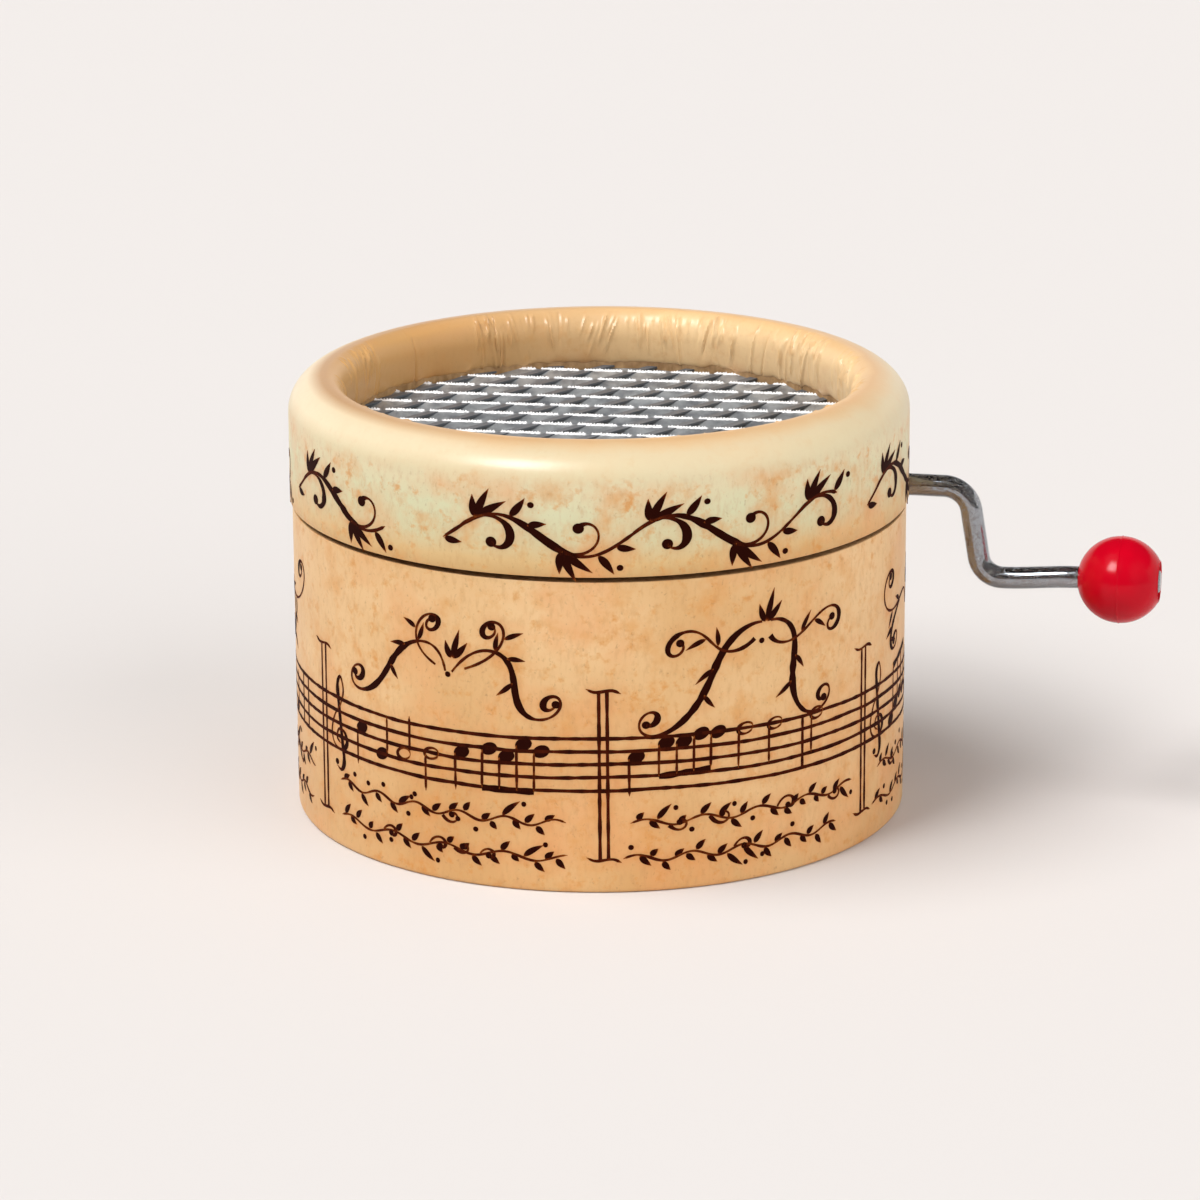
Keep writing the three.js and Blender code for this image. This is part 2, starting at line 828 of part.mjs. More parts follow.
function addFrames(movement) {
  const low = bedTop + glueGap;
  const earOutside = earInside + sheetThickness;
  const earFront = crankOffset - earReach;
  const frameFront = frameBackFace - sheetThickness;
  const footTop = low + sheetThickness;
  const back = join([
    block(-earOutside, earOutside, frameFront, frameBackFace, low, drumHeight),
    extruded(roundTopShape(backPlateReach, 0, drumHeight - low, bendSteps), sheetThickness)
      .rotateX(Math.PI / 2)
      .translate(0, frameBackFace, low),
  ]);
  const pieces = [back];
  const screwPlaces = [];
  for (const side of [-1, 1]) {
    const inner = side * earInside;
    const outer = side * earOutside;
    const x = Math.min(inner, outer);
    const post = block(x, x + sheetThickness, earFront, frameBackFace, low, drumHeight);
    const ear = extruded(roundTopShape(earReach, low, seamHeight, bendSteps), sheetThickness)
      .rotateZ(Math.PI / 2)
      .rotateY(Math.PI / 2);
    ear.translate(x, crankOffset, 0);
    const footEnd = side * (earOutside + footLength);
    const footBack = earFront + footWidth + earReach;
    const foot = block(
      Math.min(inner, footEnd),
      Math.max(inner, footEnd),
      footBack - footWidth,
      footBack,
      low,
      footTop,
    );
    pieces.push(post, ear, foot);
    screwPlaces.push([side * (earOutside + footLength / 2), footBack - footWidth / 2]);
  }
  const bushes = [
    alongY(bushHole(frameFront - cutOverrun, frameBackFace + cutOverrun)).translate(0, 0, drumHeight),
    alongX(bushHole(-earOutside - cutOverrun, earOutside + cutOverrun)).translate(
      0,
      crankOffset,
      seamHeight,
    ),
  ];
  const shankHoles = screwPlaces.map(([x, y]) =>
    rod(shankRadius + screwFit, bedBottom - cutOverrun, footTop + cutOverrun, screwSides).translate(
      x,
      y,
      0,
    ),
  );
  addPiece(movement, "drive_frame", cut(join(pieces), [...bushes, ...shankHoles]), "zinc");
  screwPlaces.forEach(([x, y], index) => {
    const screw = cheeseScrew(footTop - bedBottom).translate(x, y, footTop + glueGap);
    addPiece(movement, "frame_screw_" + (index + 1), screw, "nickel");
  });

  const arborBush = alongY(bush(sheetThickness, arborRadius)).translate(0, frameFront, drumHeight);
  addPiece(movement, "drum_bush_back", arborBush, "brass");
  for (const [side, name] of [
    [-1, "crank_bush_inner"],
    [1, "crank_bush_outer"],
  ]) {
    const made = alongX(bush(sheetThickness, wireRadius));
    if (side < 0) made.rotateZ(Math.PI);
    addPiece(movement, name, made.translate(side * earInside, crankOffset, seamHeight), "brass");
  }

  const bracketReach = backPlateReach;
  const bracketFootFront = bracketFront - footLength + sheetThickness;
  const footMiddle = (bracketFootFront + bracketFront) / 2;
  const plate = extruded(roundTopShape(bracketReach, low, drumHeight, bendSteps), sheetThickness)
    .rotateX(Math.PI / 2)
    .translate(0, bracketBack, 0);
  const foot = block(-bracketReach, bracketReach, bracketFootFront, bracketBack, low, footTop);
  const bracketHoles = [
    alongY(bushHole(bracketFront - cutOverrun, bracketBack + cutOverrun)).translate(0, 0, drumHeight),
    rod(shankRadius + screwFit, bedBottom - cutOverrun, footTop + cutOverrun, screwSides).translate(
      0,
      footMiddle,
      0,
    ),
  ];
  addPiece(movement, "drum_bracket", cut(join([plate, foot]), bracketHoles), "zinc");
  const screw = cheeseScrew(footTop - bedBottom).translate(0, footMiddle, footTop + glueGap);
  addPiece(movement, "bracket_screw", screw, "nickel");
  const frontBush = alongY(bush(sheetThickness, arborRadius)).rotateX(Math.PI);
  addPiece(movement, "drum_bush_front", frontBush.translate(0, bracketBack, drumHeight), "brass");

  const bedScrewHoles = [...screwPlaces, [0, footMiddle]].map(([x, y]) =>
    rod(shankRadius + screwFit, bedBottom - cutOverrun, bedTop + cutOverrun, screwSides).translate(
      x,
      y,
      0,
    ),
  );
  const bed = extruded(bedShape(), bedThickness).translate(0, 0, bedBottom);
  const bedHoles = [...bedScrewHoles, ...screwHoles(bedTop + cutOverrun)];
  addPiece(movement, "bedplate", cut(bed, bedHoles), "zinc");
}

function addMovementScrews(movement) {
  const top = bedTop - glueGap;
  const profile = movementScrewProfile(0, 0, top);
  movementScrewPlaces().forEach(([x, y], index) => {
    const low = movementHeadSink - cutOverrun;
    const slot = screwSlot(movementHeadRadius, low, movementHeadSink + slotDepth);
    const screw = toGeometry(cut(turned(profile, screwSides), [slot]));
    addPiece(movement, "movement_screw_" + (index + 1), screw.translate(x, y, 0), "nickel");
  });
}

// Crank: one bent wire with a crimped end
const wireTail = 1.2; // how far the wire stands out past the inner ear's clip
const upperBendRadius = 1.6;
const lowerBendRadius = 2.5;
const upperBendStart = 30.1; // from the middle of the can
const armLean = THREE.MathUtils.degToRad(7); // the arm leans outwards from straight down
const wireSides = 12;
const bendRings = 6;
const beadFlat = 3.5; // from the middle of the bead to its flat outer end
const crimpRadius = 1.5;
const crimpThickness = 0.5;
const crimpLobes = 4;
const crimpWaistShare = 0.6;
const crimpFit = 0.12; // from the bead's flat end to the crimp
const crankCollarLength = 1.4;

// A wire's middle line, given by its stations, each with the wire's direction there.
class WireCurve extends THREE.Curve {
  constructor(stations) {
    super();
    this.stations = stations;
  }
  getUtoTmapping(share) {
    return share;
  }
  getPoint(share, target = new THREE.Vector3()) {
    const last = this.stations.length - 1;
    const at = Math.min(Math.floor(share * last), last - 1);
    const [from, to] = [this.stations[at], this.stations[at + 1]];
    return target.lerpVectors(from.place, to.place, share * last - at);
  }
  getTangent(share, target = new THREE.Vector3()) {
    const last = this.stations.length - 1;
    return target.copy(this.stations[Math.round(share * last)].direction);
  }
}

// The crank in its own frame: the axis of turning is the line y = 0, z = 0.
function wireStations(start, end) {
  const stations = [];
  const mark = (x, z, angle) =>
    stations.push({
      place: new THREE.Vector3(x, 0, z),
      direction: new THREE.Vector3(Math.cos(angle), 0, -Math.sin(angle)),
    });
  const bend = Math.PI / 2 - armLean;
  const bentShare = 1 - Math.cos(bend);
  const straight = (crankThrow - (upperBendRadius + lowerBendRadius) * bentShare) / Math.sin(bend);
  mark(start, 0, 0);
  let x = upperBendStart;
  for (let ring = 0; ring <= bendRings; ring++) {
    const angle = (bend * ring) / bendRings;
    mark(
      x + upperBendRadius * Math.sin(angle),
      -upperBendRadius * (1 - Math.cos(angle)),
      angle,
    );
  }
  x += upperBendRadius * Math.sin(bend) + straight * Math.cos(bend);
  x += lowerBendRadius * Math.sin(bend);
  for (let ring = bendRings; ring >= 0; ring--) {
    const angle = (bend * ring) / bendRings;
    mark(
      x - lowerBendRadius * Math.sin(angle),
      -crankThrow + lowerBendRadius * (1 - Math.cos(angle)),
      angle,
    );
  }
  mark(end, -crankThrow, 0);
  return stations;
}

function addCrank() {
  const crank = group(musicBox, 0, crankOffset, seamHeight);
  const earOutside = earInside + sheetThickness;
  const clipLow = -(earOutside + collarFit + clipThickness);
  const wireEnd = beadReach + beadFlat + crimpFit + crimpThickness / 2;
  const stations = wireStations(clipLow - wireTail, wireEnd);
  const section = [];
  for (let side = 0; side < wireSides; side++) {
    const angle = (side * 2 * Math.PI) / wireSides;
    section.push([wireRadius * Math.cos(angle), wireRadius * Math.sin(angle)]);
  }
  const wire = new THREE.ExtrudeGeometry(outline(section), {
    steps: stations.length - 1,
    extrudePath: new WireCurve(stations),
  });
  const lobes = [];
  for (let point = 0; point < crimpLobes * 2; point++) {
    const angle = (point * Math.PI) / crimpLobes;
    const radius = point % 2 ? crimpRadius * crimpWaistShare : crimpRadius;
    lobes.push([radius * Math.cos(angle), radius * Math.sin(angle)]);
  }
  const crimp = alongX(extruded(outline(lobes), crimpThickness)).translate(
    beadReach + beadFlat + crimpFit,
    0,
    -crankThrow,
  );
  addPiece(crank, "crank_rod", join([wire, crimp]), "nickel");
  addPiece(crank, "worm", wormGeometry(), "steel");
  const bore = boreFor(wireRadius, runningFit, boreSides);
  const clip = alongX(
    tubeWall(bore, clipRadius, clipLow, -(earOutside + collarFit), boreSides),
  );
  addPiece(crank, "crank_clip", clip, "steel");
  const collar = alongX(
    tubeWall(
      bore,
      collarRadius,
      earOutside + collarFit,
      earOutside + collarFit + crankCollarLength,
      boreSides,
    ),
  );
  addPiece(crank, "crank_collar", collar, "brass");

  const knob = group(crank, beadReach, 0, -crankThrow);
  addPiece(knob, "knob_bead", beadGeometry(), "redPlastic");
}

const beadSides = 24;
const beadRings = 12;

// The bead: round where the wire enters, ground flat where the wire is crimped.
function beadGeometry() {
  const bore = boreFor(wireRadius, knobFit, beadSides);
  const from = -Math.acos(bore / beadRadius);
  const to = Math.asin(beadFlat / beadRadius);
  const round = arcPoints(0, 0, beadRadius, beadRadius, from, to, beadRings);
  return alongX(turnedRing([...round, [bore, beadFlat]], beadSides));
}

addBody();
addLid();
const movement = group(musicBox, 0, 0, 0);
addMovementScrews(movement);
addComb(movement);
addFrames(movement);
addDrum();
addCrank();

export default musicBox;
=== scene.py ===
# Hand crank music box: the looks of every piece, around the fixed model. Arrays are in millimetres.
import json
import math

import bmesh
import bpy
import numpy as np
from mathutils import Matrix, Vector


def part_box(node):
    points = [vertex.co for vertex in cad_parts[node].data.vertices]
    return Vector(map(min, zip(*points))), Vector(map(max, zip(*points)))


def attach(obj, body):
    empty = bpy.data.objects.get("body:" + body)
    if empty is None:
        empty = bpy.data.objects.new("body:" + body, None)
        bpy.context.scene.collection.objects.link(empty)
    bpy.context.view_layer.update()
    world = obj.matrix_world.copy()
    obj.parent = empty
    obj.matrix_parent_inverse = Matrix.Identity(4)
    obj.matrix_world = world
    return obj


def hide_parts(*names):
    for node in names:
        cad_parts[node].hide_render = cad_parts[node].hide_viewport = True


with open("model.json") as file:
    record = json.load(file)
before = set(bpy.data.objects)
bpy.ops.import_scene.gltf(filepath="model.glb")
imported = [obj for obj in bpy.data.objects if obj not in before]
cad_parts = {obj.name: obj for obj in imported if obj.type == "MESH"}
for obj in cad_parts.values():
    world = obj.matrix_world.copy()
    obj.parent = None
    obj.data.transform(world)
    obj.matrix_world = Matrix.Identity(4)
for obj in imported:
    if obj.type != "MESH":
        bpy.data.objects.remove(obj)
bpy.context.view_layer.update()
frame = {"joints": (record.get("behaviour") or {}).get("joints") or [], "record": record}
mm = 0.001
fullTurn = 2 * math.pi
bodies = frame["record"]["behaviour"]["bodies"]
bodyOf = {node: body for body, nodes in bodies.items() for node in nodes}
slotOf = {part["node"]: part["material_slot"] for part in frame["record"]["subparts"]}
dressed = set()  # the fixed nodes that a piece already stands in for


def boxOf(node):
    # Lowest and highest corner of a fixed node
    low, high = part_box(node)
    return np.array(low) / mm, np.array(high) / mm


def axisOf(joint):
    # A point on a joint's axis
    found = next(each for each in frame["joints"] if each["name"] == joint)
    return np.array(found["pos_m"]) / mm


bodyHigh = boxOf("body_wrap")[1]
lidLow, lidHigh = boxOf("lid_wrap")
grilleLow, grilleHigh = boxOf("grille")
wireLow, wireHigh = boxOf("crank_rod")
crankAxis = axisOf("crank_turn")
drumAxis = axisOf("drum_turn")
knobAxis = axisOf("knob_spin")
bodyRadius, bodyTop = bodyHigh[0], bodyHigh[2]
lidRadius, lidBottom, lidTop = lidHigh[0], lidLow[2], lidHigh[2]
lipRise = 0.85  # how far the torn lips of the grille stand up from its disc
grilleTop = grilleHigh[2] + lipRise
wireRadius = wireHigh[2] - crankAxis[2]
seamHeight = crankAxis[2]


# Colours, nodes and materials

def linear(code):
    # sRGB hex to linear: c / 12.92 up to 0.04045, and ((c + 0.055) / 1.055) to the power 2.4 above
    parts = [int(code[at : at + 2], 16) / 255 for at in (1, 3, 5)]
    return [c / 12.92 if c <= 0.04045 else ((c + 0.055) / 1.055) ** 2.4 for c in parts] + [1]


def addNode(tree, kind, settings, output=0):
    # One node: each setting is a property or a socket, and a socket takes a value, a hex colour or a
    # link. It gives the output that is asked for, the first as a rule
    node = tree.nodes.new("ShaderNode" + kind)
    for key, value in settings.items():
        if key == "ramp":
            elements = node.color_ramp.elements
            while len(elements) < len(value):
                elements.new(0.5)
            for element, (place, colour) in zip(elements, value):
                element.position = place
                element.color = linear(colour)
        elif isinstance(key, str) and key not in node.inputs:
            setattr(node, key, value)
        elif isinstance(value, bpy.types.NodeSocket):
            tree.links.new(value, node.inputs[key])
        else:
            node.inputs[key].default_value = linear(value) if isinstance(value, str) else value
    return node.outputs[output] if node.outputs else None


def newMaterial(name, settingsOf, *details, kind="BsdfPrincipled"):
    # A material of one shader: settingsOf(tree, place, *details) adds the nodes that feed the shader
    # and gives its settings, and place holds the object's own coordinates
    material = bpy.data.materials.new(name)
    material.use_nodes = True
    tree = material.node_tree
    tree.nodes.clear()
    place = addNode(tree, "TexCoord", {}, "Object")
    shader = addNode(tree, kind, settingsOf(tree, place, *details))
    addNode(tree, "OutputMaterial", {"Surface": shader})
    return material


# Meshes

def gridFaces(rows, columns, closeRows=True, closeColumns=True):
    # Quads of a grid of points, whose last row and column may join the first
    row, column = np.meshgrid(
        np.arange(rows - (not closeRows)),
        np.arange(columns - (not closeColumns)),
        indexing="ij",
    )
    nextRow, nextColumn = (row + 1) % rows, (column + 1) % columns
    corners = ((row, column), (row, nextColumn), (nextRow, nextColumn), (nextRow, column))
    return np.stack([r * columns + c for r, c in corners], -1).reshape(-1, 4)


def gridShell(points, closeRows=True):
    # A closed shell from a grid of points round an axis; open rows get a flat polygon at each end
    rows, columns = points.shape[:2]
    faces = [gridFaces(rows, columns, closeRows)]
    if not closeRows:
        ends = np.arange(columns)
        faces += [ends[None, ::-1], (ends + (rows - 1) * columns)[None]]
    return points.reshape(-1, 3), faces


def anglesOf(count):
    # Even angles once round: number times the full turn over the count
    return np.arange(count) * fullTurn / count


def turned(profile, angles):
    # Profile points (radius, height) carried round z: x = radius sin(angle), y = -radius cos(angle)
    profile = np.asarray(profile, float)
    if profile.ndim == 2:
        profile = np.repeat(profile[:, None], len(angles), 1)
    radius, height = profile[..., 0], profile[..., 1]
    return np.stack([radius * np.sin(angles), -radius * np.cos(angles), height], -1)


def arcOf(centre, reach, start, end, count):
    # Ellipse points: centre + (reach0 cos(angle), reach1 sin(angle))
    angle = np.radians(np.linspace(start, end, count))
    x = centre[0] + reach[0] * np.cos(angle)
    return np.stack([x, centre[1] + reach[1] * np.sin(angle)], -1)


def placed(shell, axis, centre):
    # Turns a shell's own z onto x or y by passing its coordinates round, and moves it
    points, faces = shell
    return np.roll(points, {"x": 1, "y": -1}[axis], -1) + np.asarray(centre), faces


def volumeOf(points, faces):
    # Sum of a . (b x c) / 6 over the triangles of every face
    total = 0
    for polygons in faces:
        a = points[polygons[:, 0]]
        for at in range(1, polygons.shape[1] - 1):
            b, c = points[polygons[:, at]], points[polygons[:, at + 1]]
            total += np.einsum("ij,ij->", a, np.cross(b, c)) / 6
    return total


def addObject(name, data):
    added = bpy.data.objects.new(name, data)
    bpy.context.scene.collection.objects.link(added)
    return added


def finishPiece(name, node, mesh, material, sharp=35, replacing=True):
    # Smooth faces, with sharp edges past an angle in degrees. The piece moves with a fixed node, has its
    # material slot and, as a rule, stands in for it
    mesh.shade_smooth()
    mesh.set_sharp_from_angle(angle=math.radians(sharp))
    mesh.materials.clear()
    mesh.materials.append(material)
    piece = addObject(name, mesh)
    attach(piece, bodyOf[node])
    if replacing:
        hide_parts(node)
        dressed.add(node)
    return piece


def addPiece(name, node, shells, material, values=None, **manner):
    # Joins closed shells into one piece, each turned to face outwards
    points, corners, sizes, start = [], [], [], 0
    for shellPoints, shellFaces in shells:
        step = 1 if volumeOf(shellPoints, shellFaces) > 0 else -1
        for polygons in shellFaces:
            corners.append((polygons[:, ::step] + start).ravel())
            sizes.append(np.full(len(polygons), polygons.shape[1]))
        points.append(shellPoints)
        start += len(shellPoints)
    corners, sizes = np.concatenate(corners), np.concatenate(sizes)
    mesh = bpy.data.meshes.new(name)
    mesh.vertices.add(start)
    mesh.vertices.foreach_set("co", (np.concatenate(points) * mm).ravel())
    mesh.loops.add(len(corners))
    mesh.loops.foreach_set("vertex_index", corners)
    mesh.polygons.add(len(sizes))
    mesh.polygons.foreach_set("loop_start", np.cumsum(sizes) - sizes)
    mesh.update(calc_edges=True)
    for key, numbers in (values or {}).items():
        attribute = mesh.attributes.new(key, "FLOAT", "POINT")
        attribute.data.foreach_set("value", np.ravel(numbers).astype(np.float32))
    finishPiece(name, node, mesh, material, **manner)


def smoothNoise(seed, count, length, around):
    # Periodic noise, -1 to 1: waves of random phase that fade out below the given length
    wave = np.arange(count // 2 + 1)
    strength = np.exp(-((wave * length / around) ** 2))
    strength[0] = 0
    phase = np.random.default_rng(seed).uniform(0, fullTurn, len(wave))
    line = np.fft.irfft(strength * np.exp(1j * phase), count)
    return line / np.abs(line).max()


# Camera, floor and light

camera = {
    "azimuth": 12.0,  # round to the crank's side
    "distance": 421.9,
    "height": 144.9,
    "tilt": 16.73,  # down, in degrees
    "roll": 0.28,
    "lens": 146.3,
    "sensor": 36.0,
}


def addCamera():
    data = bpy.data.cameras.new("camera")
    data.lens = camera["lens"]
    data.sensor_width = camera["sensor"]
    data.clip_start, data.clip_end = 0.01, 20
    added = addObject("camera", data)
    turn = math.radians(camera["azimuth"])
    reach = camera["distance"] * mm
    added.location = (math.sin(turn) * reach, -math.cos(turn) * reach, camera["height"] * mm)
    turns = ((turn, "Z"), (math.radians(90 - camera["tilt"]), "X"), (-math.radians(camera["roll"]), "Z"))
    pose = Matrix.Identity(3)
    for angle, axis in turns:
        pose = pose @ Matrix.Rotation(angle, 3, axis)
    added.rotation_euler = pose.to_euler()
    bpy.context.scene.camera = added


studio = {
    "background": "#f6f0eb",
    "floor": "#d9d4d1",
    "floorReach": 3.0,  # metres
    "sky": 0.35,
    # Where each light comes from, its strength and how wide its disc is in degrees; gloss shows
    # none of them
    "lights": {
        "key": ((-0.9, -0.45, 2.02), 1.95, 34),
        "front": ((-0.38, -0.54, 0.76), 0.93, 20),
        "fill": ((1.0, -0.5, 0.48), 1.38, 60),
    },
    # Dark screens and a softbox that only gloss shows: azimuth from the camera and elevation of their
    # edges in degrees, colour and strength
    "screens": (
        (-180, 180, 24, 90, "#242629", 1),
        (-75, 75, 0.5, 24, "#303235", 1),
        (-50, -24, 38, 60, "#ffffff", 24),
    ),
    "screenReach": 1.2,  # metres, and each next one is nearer by the gap
    "screenGap": 0.1,
}


def addStudio():
    world = bpy.data.worlds.new("studio")
    bpy.context.scene.world = world
    world.use_nodes = True
    tree = world.node_tree
    tree.nodes.clear()
    seen = 0.0
    for kind in ("Is Camera Ray", "Is Glossy Ray", "Is Transmission Ray"):
        ray = addNode(tree, "LightPath", {}, kind)
        seen = addNode(tree, "Math", {"operation": "MAXIMUM", 0: seen, 1: ray})
    plain = [studio["sky"]] * 3 + [1]
    colour = addNode(tree, "Mix", {"data_type": "RGBA", 0: seen, 6: plain, 7: studio["background"]}, 2)
    sky = addNode(tree, "Background", {"Color": colour, "Strength": 1})
    addNode(tree, "OutputWorld", {"Surface": sky})

    for name, (place, strength, softness) in studio["lights"].items():
        lamp = bpy.data.lights.new(name, "SUN")
        lamp.energy = strength
        lamp.angle = math.radians(softness)
        added = addObject(name, lamp)
        x, y, z = place
        added.rotation_euler = (math.atan2(math.hypot(x, y), z), 0, math.atan2(y, x) + math.pi / 2)
        added.visible_glossy = False


def addStagePiece(name, corners, faces, kind, settings):
    # A piece of the studio, with one plain shader
    mesh = bpy.data.meshes.new(name)
    mesh.from_pydata(corners, [], faces)
    mesh.materials.append(newMaterial(name, lambda tree, place: settings, kind=kind))
    piece = addObject(name, mesh)
    return piece


def addStage():
    # A plain matt sheet on the table, pale enough to meet the background, that keeps the shadow
    reach = studio["floorReach"]
    corners = [(-reach, -reach, 0), (reach, -reach, 0), (reach, reach, 0), (-reach, reach, 0)]
    addStagePiece("floor", corners, [(0, 1, 2, 3)], "BsdfDiffuse", {"Color": studio["floor"]})
    for number, (left, right, low, high, colour, strength) in enumerate(studio["screens"]):
        # Part of a globe: x = cos(up) sin(round), y = -cos(up) cos(round), z = sin(up)
        around = np.radians(camera["azimuth"] + np.linspace(left, right, 37))
        up = np.radians(np.linspace(low, high, 9))[:, None]
        points = [np.cos(up) * np.sin(around), -np.cos(up) * np.cos(around), np.sin(up) + 0 * around]
        points = np.stack(points, -1) * (studio["screenReach"] - studio["screenGap"] * number)
        faces = gridFaces(*points.shape[:2], False, False).tolist()
        settings = {"Color": colour, "Strength": strength}
        corners = points.reshape(-1, 3).tolist()
        screen = addStagePiece(f"screen_{number + 1}", corners, faces, "Emission", settings)
        screen.visible_camera = screen.visible_diffuse = screen.visible_shadow = False
        screen.visible_transmission = screen.visible_volume_scatter = False
    bpy.context.scene.view_settings.view_transform = "Standard"


addCamera()
addStudio()
addStage()
print("camera and studio ready")


# Ink: pen lines laid out flat, as rows of place round the can, height and half width

ink = {
    "seed": 21,
    "step": 0.15,  # between points along a pen line
    "press": 1.3,  # the higher, the steeper a stroke must fall to be thick
    "waver": 0.2,  # share of its width that a line gains or loses
    "waverGap": 0.6,
    "taper": 0.35,  # length of a pointed end
    "point": 0.25,  # share of the width that is left at it
    "hair": 0.02,  # least half width of a line that swells
    # Curvature of a tendril at distances along it, for a size of 1 mm
    "tendril": ((0, 0.3), (1, 0.6), (2.2, 1.1), (4, 2.7)),
}
dice = np.random.default_rng(ink["seed"])


def penPath(start, heading, size, knots):
    # A line whose curvature runs evenly from knot to knot (distance, curvature), all for a size of 1 mm
    distance, curvature = np.transpose(knots)
    along = np.arange(0, distance[-1] * size, ink["step"])
    bend = np.interp(along / size, distance, curvature) / size
    turn = math.radians(heading) + np.cumsum(bend) * ink["step"]
    return np.asarray(start) + np.cumsum(np.stack([np.cos(turn), np.sin(turn)], -1), 0) * ink["step"]


def throughPoints(points):
    # A Catmull-Rom line through a few points, cut into even steps
    points = np.asarray(points, float)
    padded = np.concatenate([2 * points[:1] - points[1:2], points, 2 * points[-1:] - points[-2:-1]])
    a, b, c, d = padded[:-3], padded[1:-2], padded[2:-1], padded[3:]
    t = np.linspace(0, 1, 12, endpoint=False)[:, None, None]
    line = b + 0.5 * t * (c - a + t * (2 * a - 5 * b + 4 * c - d + t * (3 * (b - c) + d - a)))
    line = np.concatenate([line.transpose(1, 0, 2).reshape(-1, 2), points[-1:]])
    length = np.cumsum(np.linalg.norm(np.diff(line, axis=0, prepend=line[:1]), axis=1))
    even = np.linspace(0, length[-1], max(int(length[-1] / ink["step"]), 2) + 1)
    return np.stack([np.interp(even, length, part) for part in line.T], -1)


def penStroke(strokes, path, thin, thick, ends=(1, 1)):
    # A pointed pen: thin + (thick - thin) times the downhill share of the heading to the power press,
    # wavering, with pointed ends
    step = np.diff(path, axis=0, prepend=2 * path[:1] - path[1:2])
    length = np.linalg.norm(step, axis=1)
    down = np.clip(-step[:, 1] / length, 0, 1) ** ink["press"]
    down = np.convolve(np.pad(down, 3, "edge"), np.ones(7) / 7, "valid")
    along = np.cumsum(length) - length[0]
    knots = np.arange(0, along[-1] + 2 * ink["waverGap"], ink["waverGap"])
    waver = 1 + ink["waver"] * np.interp(along, knots, dice.uniform(-1, 1, len(knots)))
    width = (thin + (thick - thin) * down) * waver
    for away, pointed in zip((along, along[-1] - along), ends):
        width *= np.clip(away / ink["taper"], 1 - (1 - ink["point"]) * pointed, 1)
    strokes.append(np.column_stack([path, width / 2]))


def swell(strokes, path, width, peak=1):
    # A line that swells: half width = width / 2 times the sine of (pi times share along to the power
    # peak) + a hair
    share = np.linspace(0, 1, len(path))
    strokes.append(np.column_stack([path, width / 2 * np.sin(math.pi * share**peak) + ink["hair"]]))


def blot(strokes, place, length, width, heading=0):
    # A filled ellipse: half width = width / 2 times the root of 1 - share along squared
    share = np.sin(np.linspace(-math.pi / 2, math.pi / 2, 11))
    turn = math.radians(heading)
    path = np.asarray(place) + np.outer(share * length / 2, (math.cos(turn), math.sin(turn)))
    strokes.append(np.column_stack([path, width / 2 * np.sqrt(1 - share**2) + ink["hair"] / 4]))


def leaf(strokes, place, heading, length, width, bend=0.5):
    # A bent line that swells near its start: its curvature fades to a fifth
    swell(strokes, penPath(place, heading, length, [(0, bend), (1, bend * 0.2)]), width, 0.7)


def curl(strokes, place, heading, size, side, thin, thick):
    # A tendril that winds up: its curvature grows from slight to tight, and it ends in a blot
    path = penPath(place, heading, size, [(at, bend * side) for at, bend in ink["tendril"]])
    penStroke(strokes, path, thin, thick, (0, 0))
    blot(strokes, path[-1], thick * 1.3, thick * 1.2)


scrolls = {
    "middle": 31.9,
    "swing": 1.7,
    "thin": 0.24,
    "thick": 1.0,
    "wave": 15.0,
    "size": 1.3,
    "fan": ((14, 2.5), (42, 2.2), (76, 1.5)),  # lean and length of the leaves outside a bow
    # Where each run starts and ends round the lid, clear of the crank's notch
    "runs": ((-47, -33.5), (-29, -14), (-8, 28.5), (33, 46), (57, 84), (89.5, 103), (108, 121)),
}


def runningScroll(strokes, left, right):
    # A waving stem, middle + swing sin(turn), with a tendril wound inside each bow and a fan of leaves
    # outside it
    u = np.arange(left, right, ink["step"])
    phase = (u - left) / scrolls["wave"] * fullTurn - 0.5
    stem = np.column_stack([u, scrolls["middle"] + scrolls["swing"] * np.sin(phase)])
    thin, thick, size = scrolls["thin"], scrolls["thick"], scrolls["size"]
    penStroke(strokes, stem, thin * 1.2, thick * 1.1)
    slope = np.degrees(np.arctan(np.gradient(stem[:, 1], u)))

    def onStem(turn):
        at = min(np.searchsorted(phase, turn), len(stem) - 2)
        return stem[at], slope[at]

    for bow in range(math.ceil(phase[0] / math.pi), int(phase[-1] / math.pi - 0.3) + 1):
        start = bow * math.pi
        side = 1 if bow % 2 == 0 else -1
        place, heading = onStem(start + 0.1)
        curl(strokes, place, heading + 10 * side, 1.6 * size, -side, thin, thick * 0.75)
        place, heading = onStem(start + 0.75)
        for lean, length in scrolls["fan"]:
            away = (lean + dice.normal(0, 4)) * side
            leaf(strokes, place, heading + away, length * size, 0.52 * size, -0.35 * side)
        place, heading = onStem(start + 2)
        leaf(strokes, place, heading + 55 * side, 1.7 * size, 0.5 * size, 0.5 * side)
        blot(strokes, place + (1.5 * size, 1.15 * side), 0.45 * size, 0.4 * size)
        place, heading = onStem(start - 0.55)
        leaf(strokes, place, heading - 50 * side, 1.3 * size, 0.45 * size, 0.4 * side)


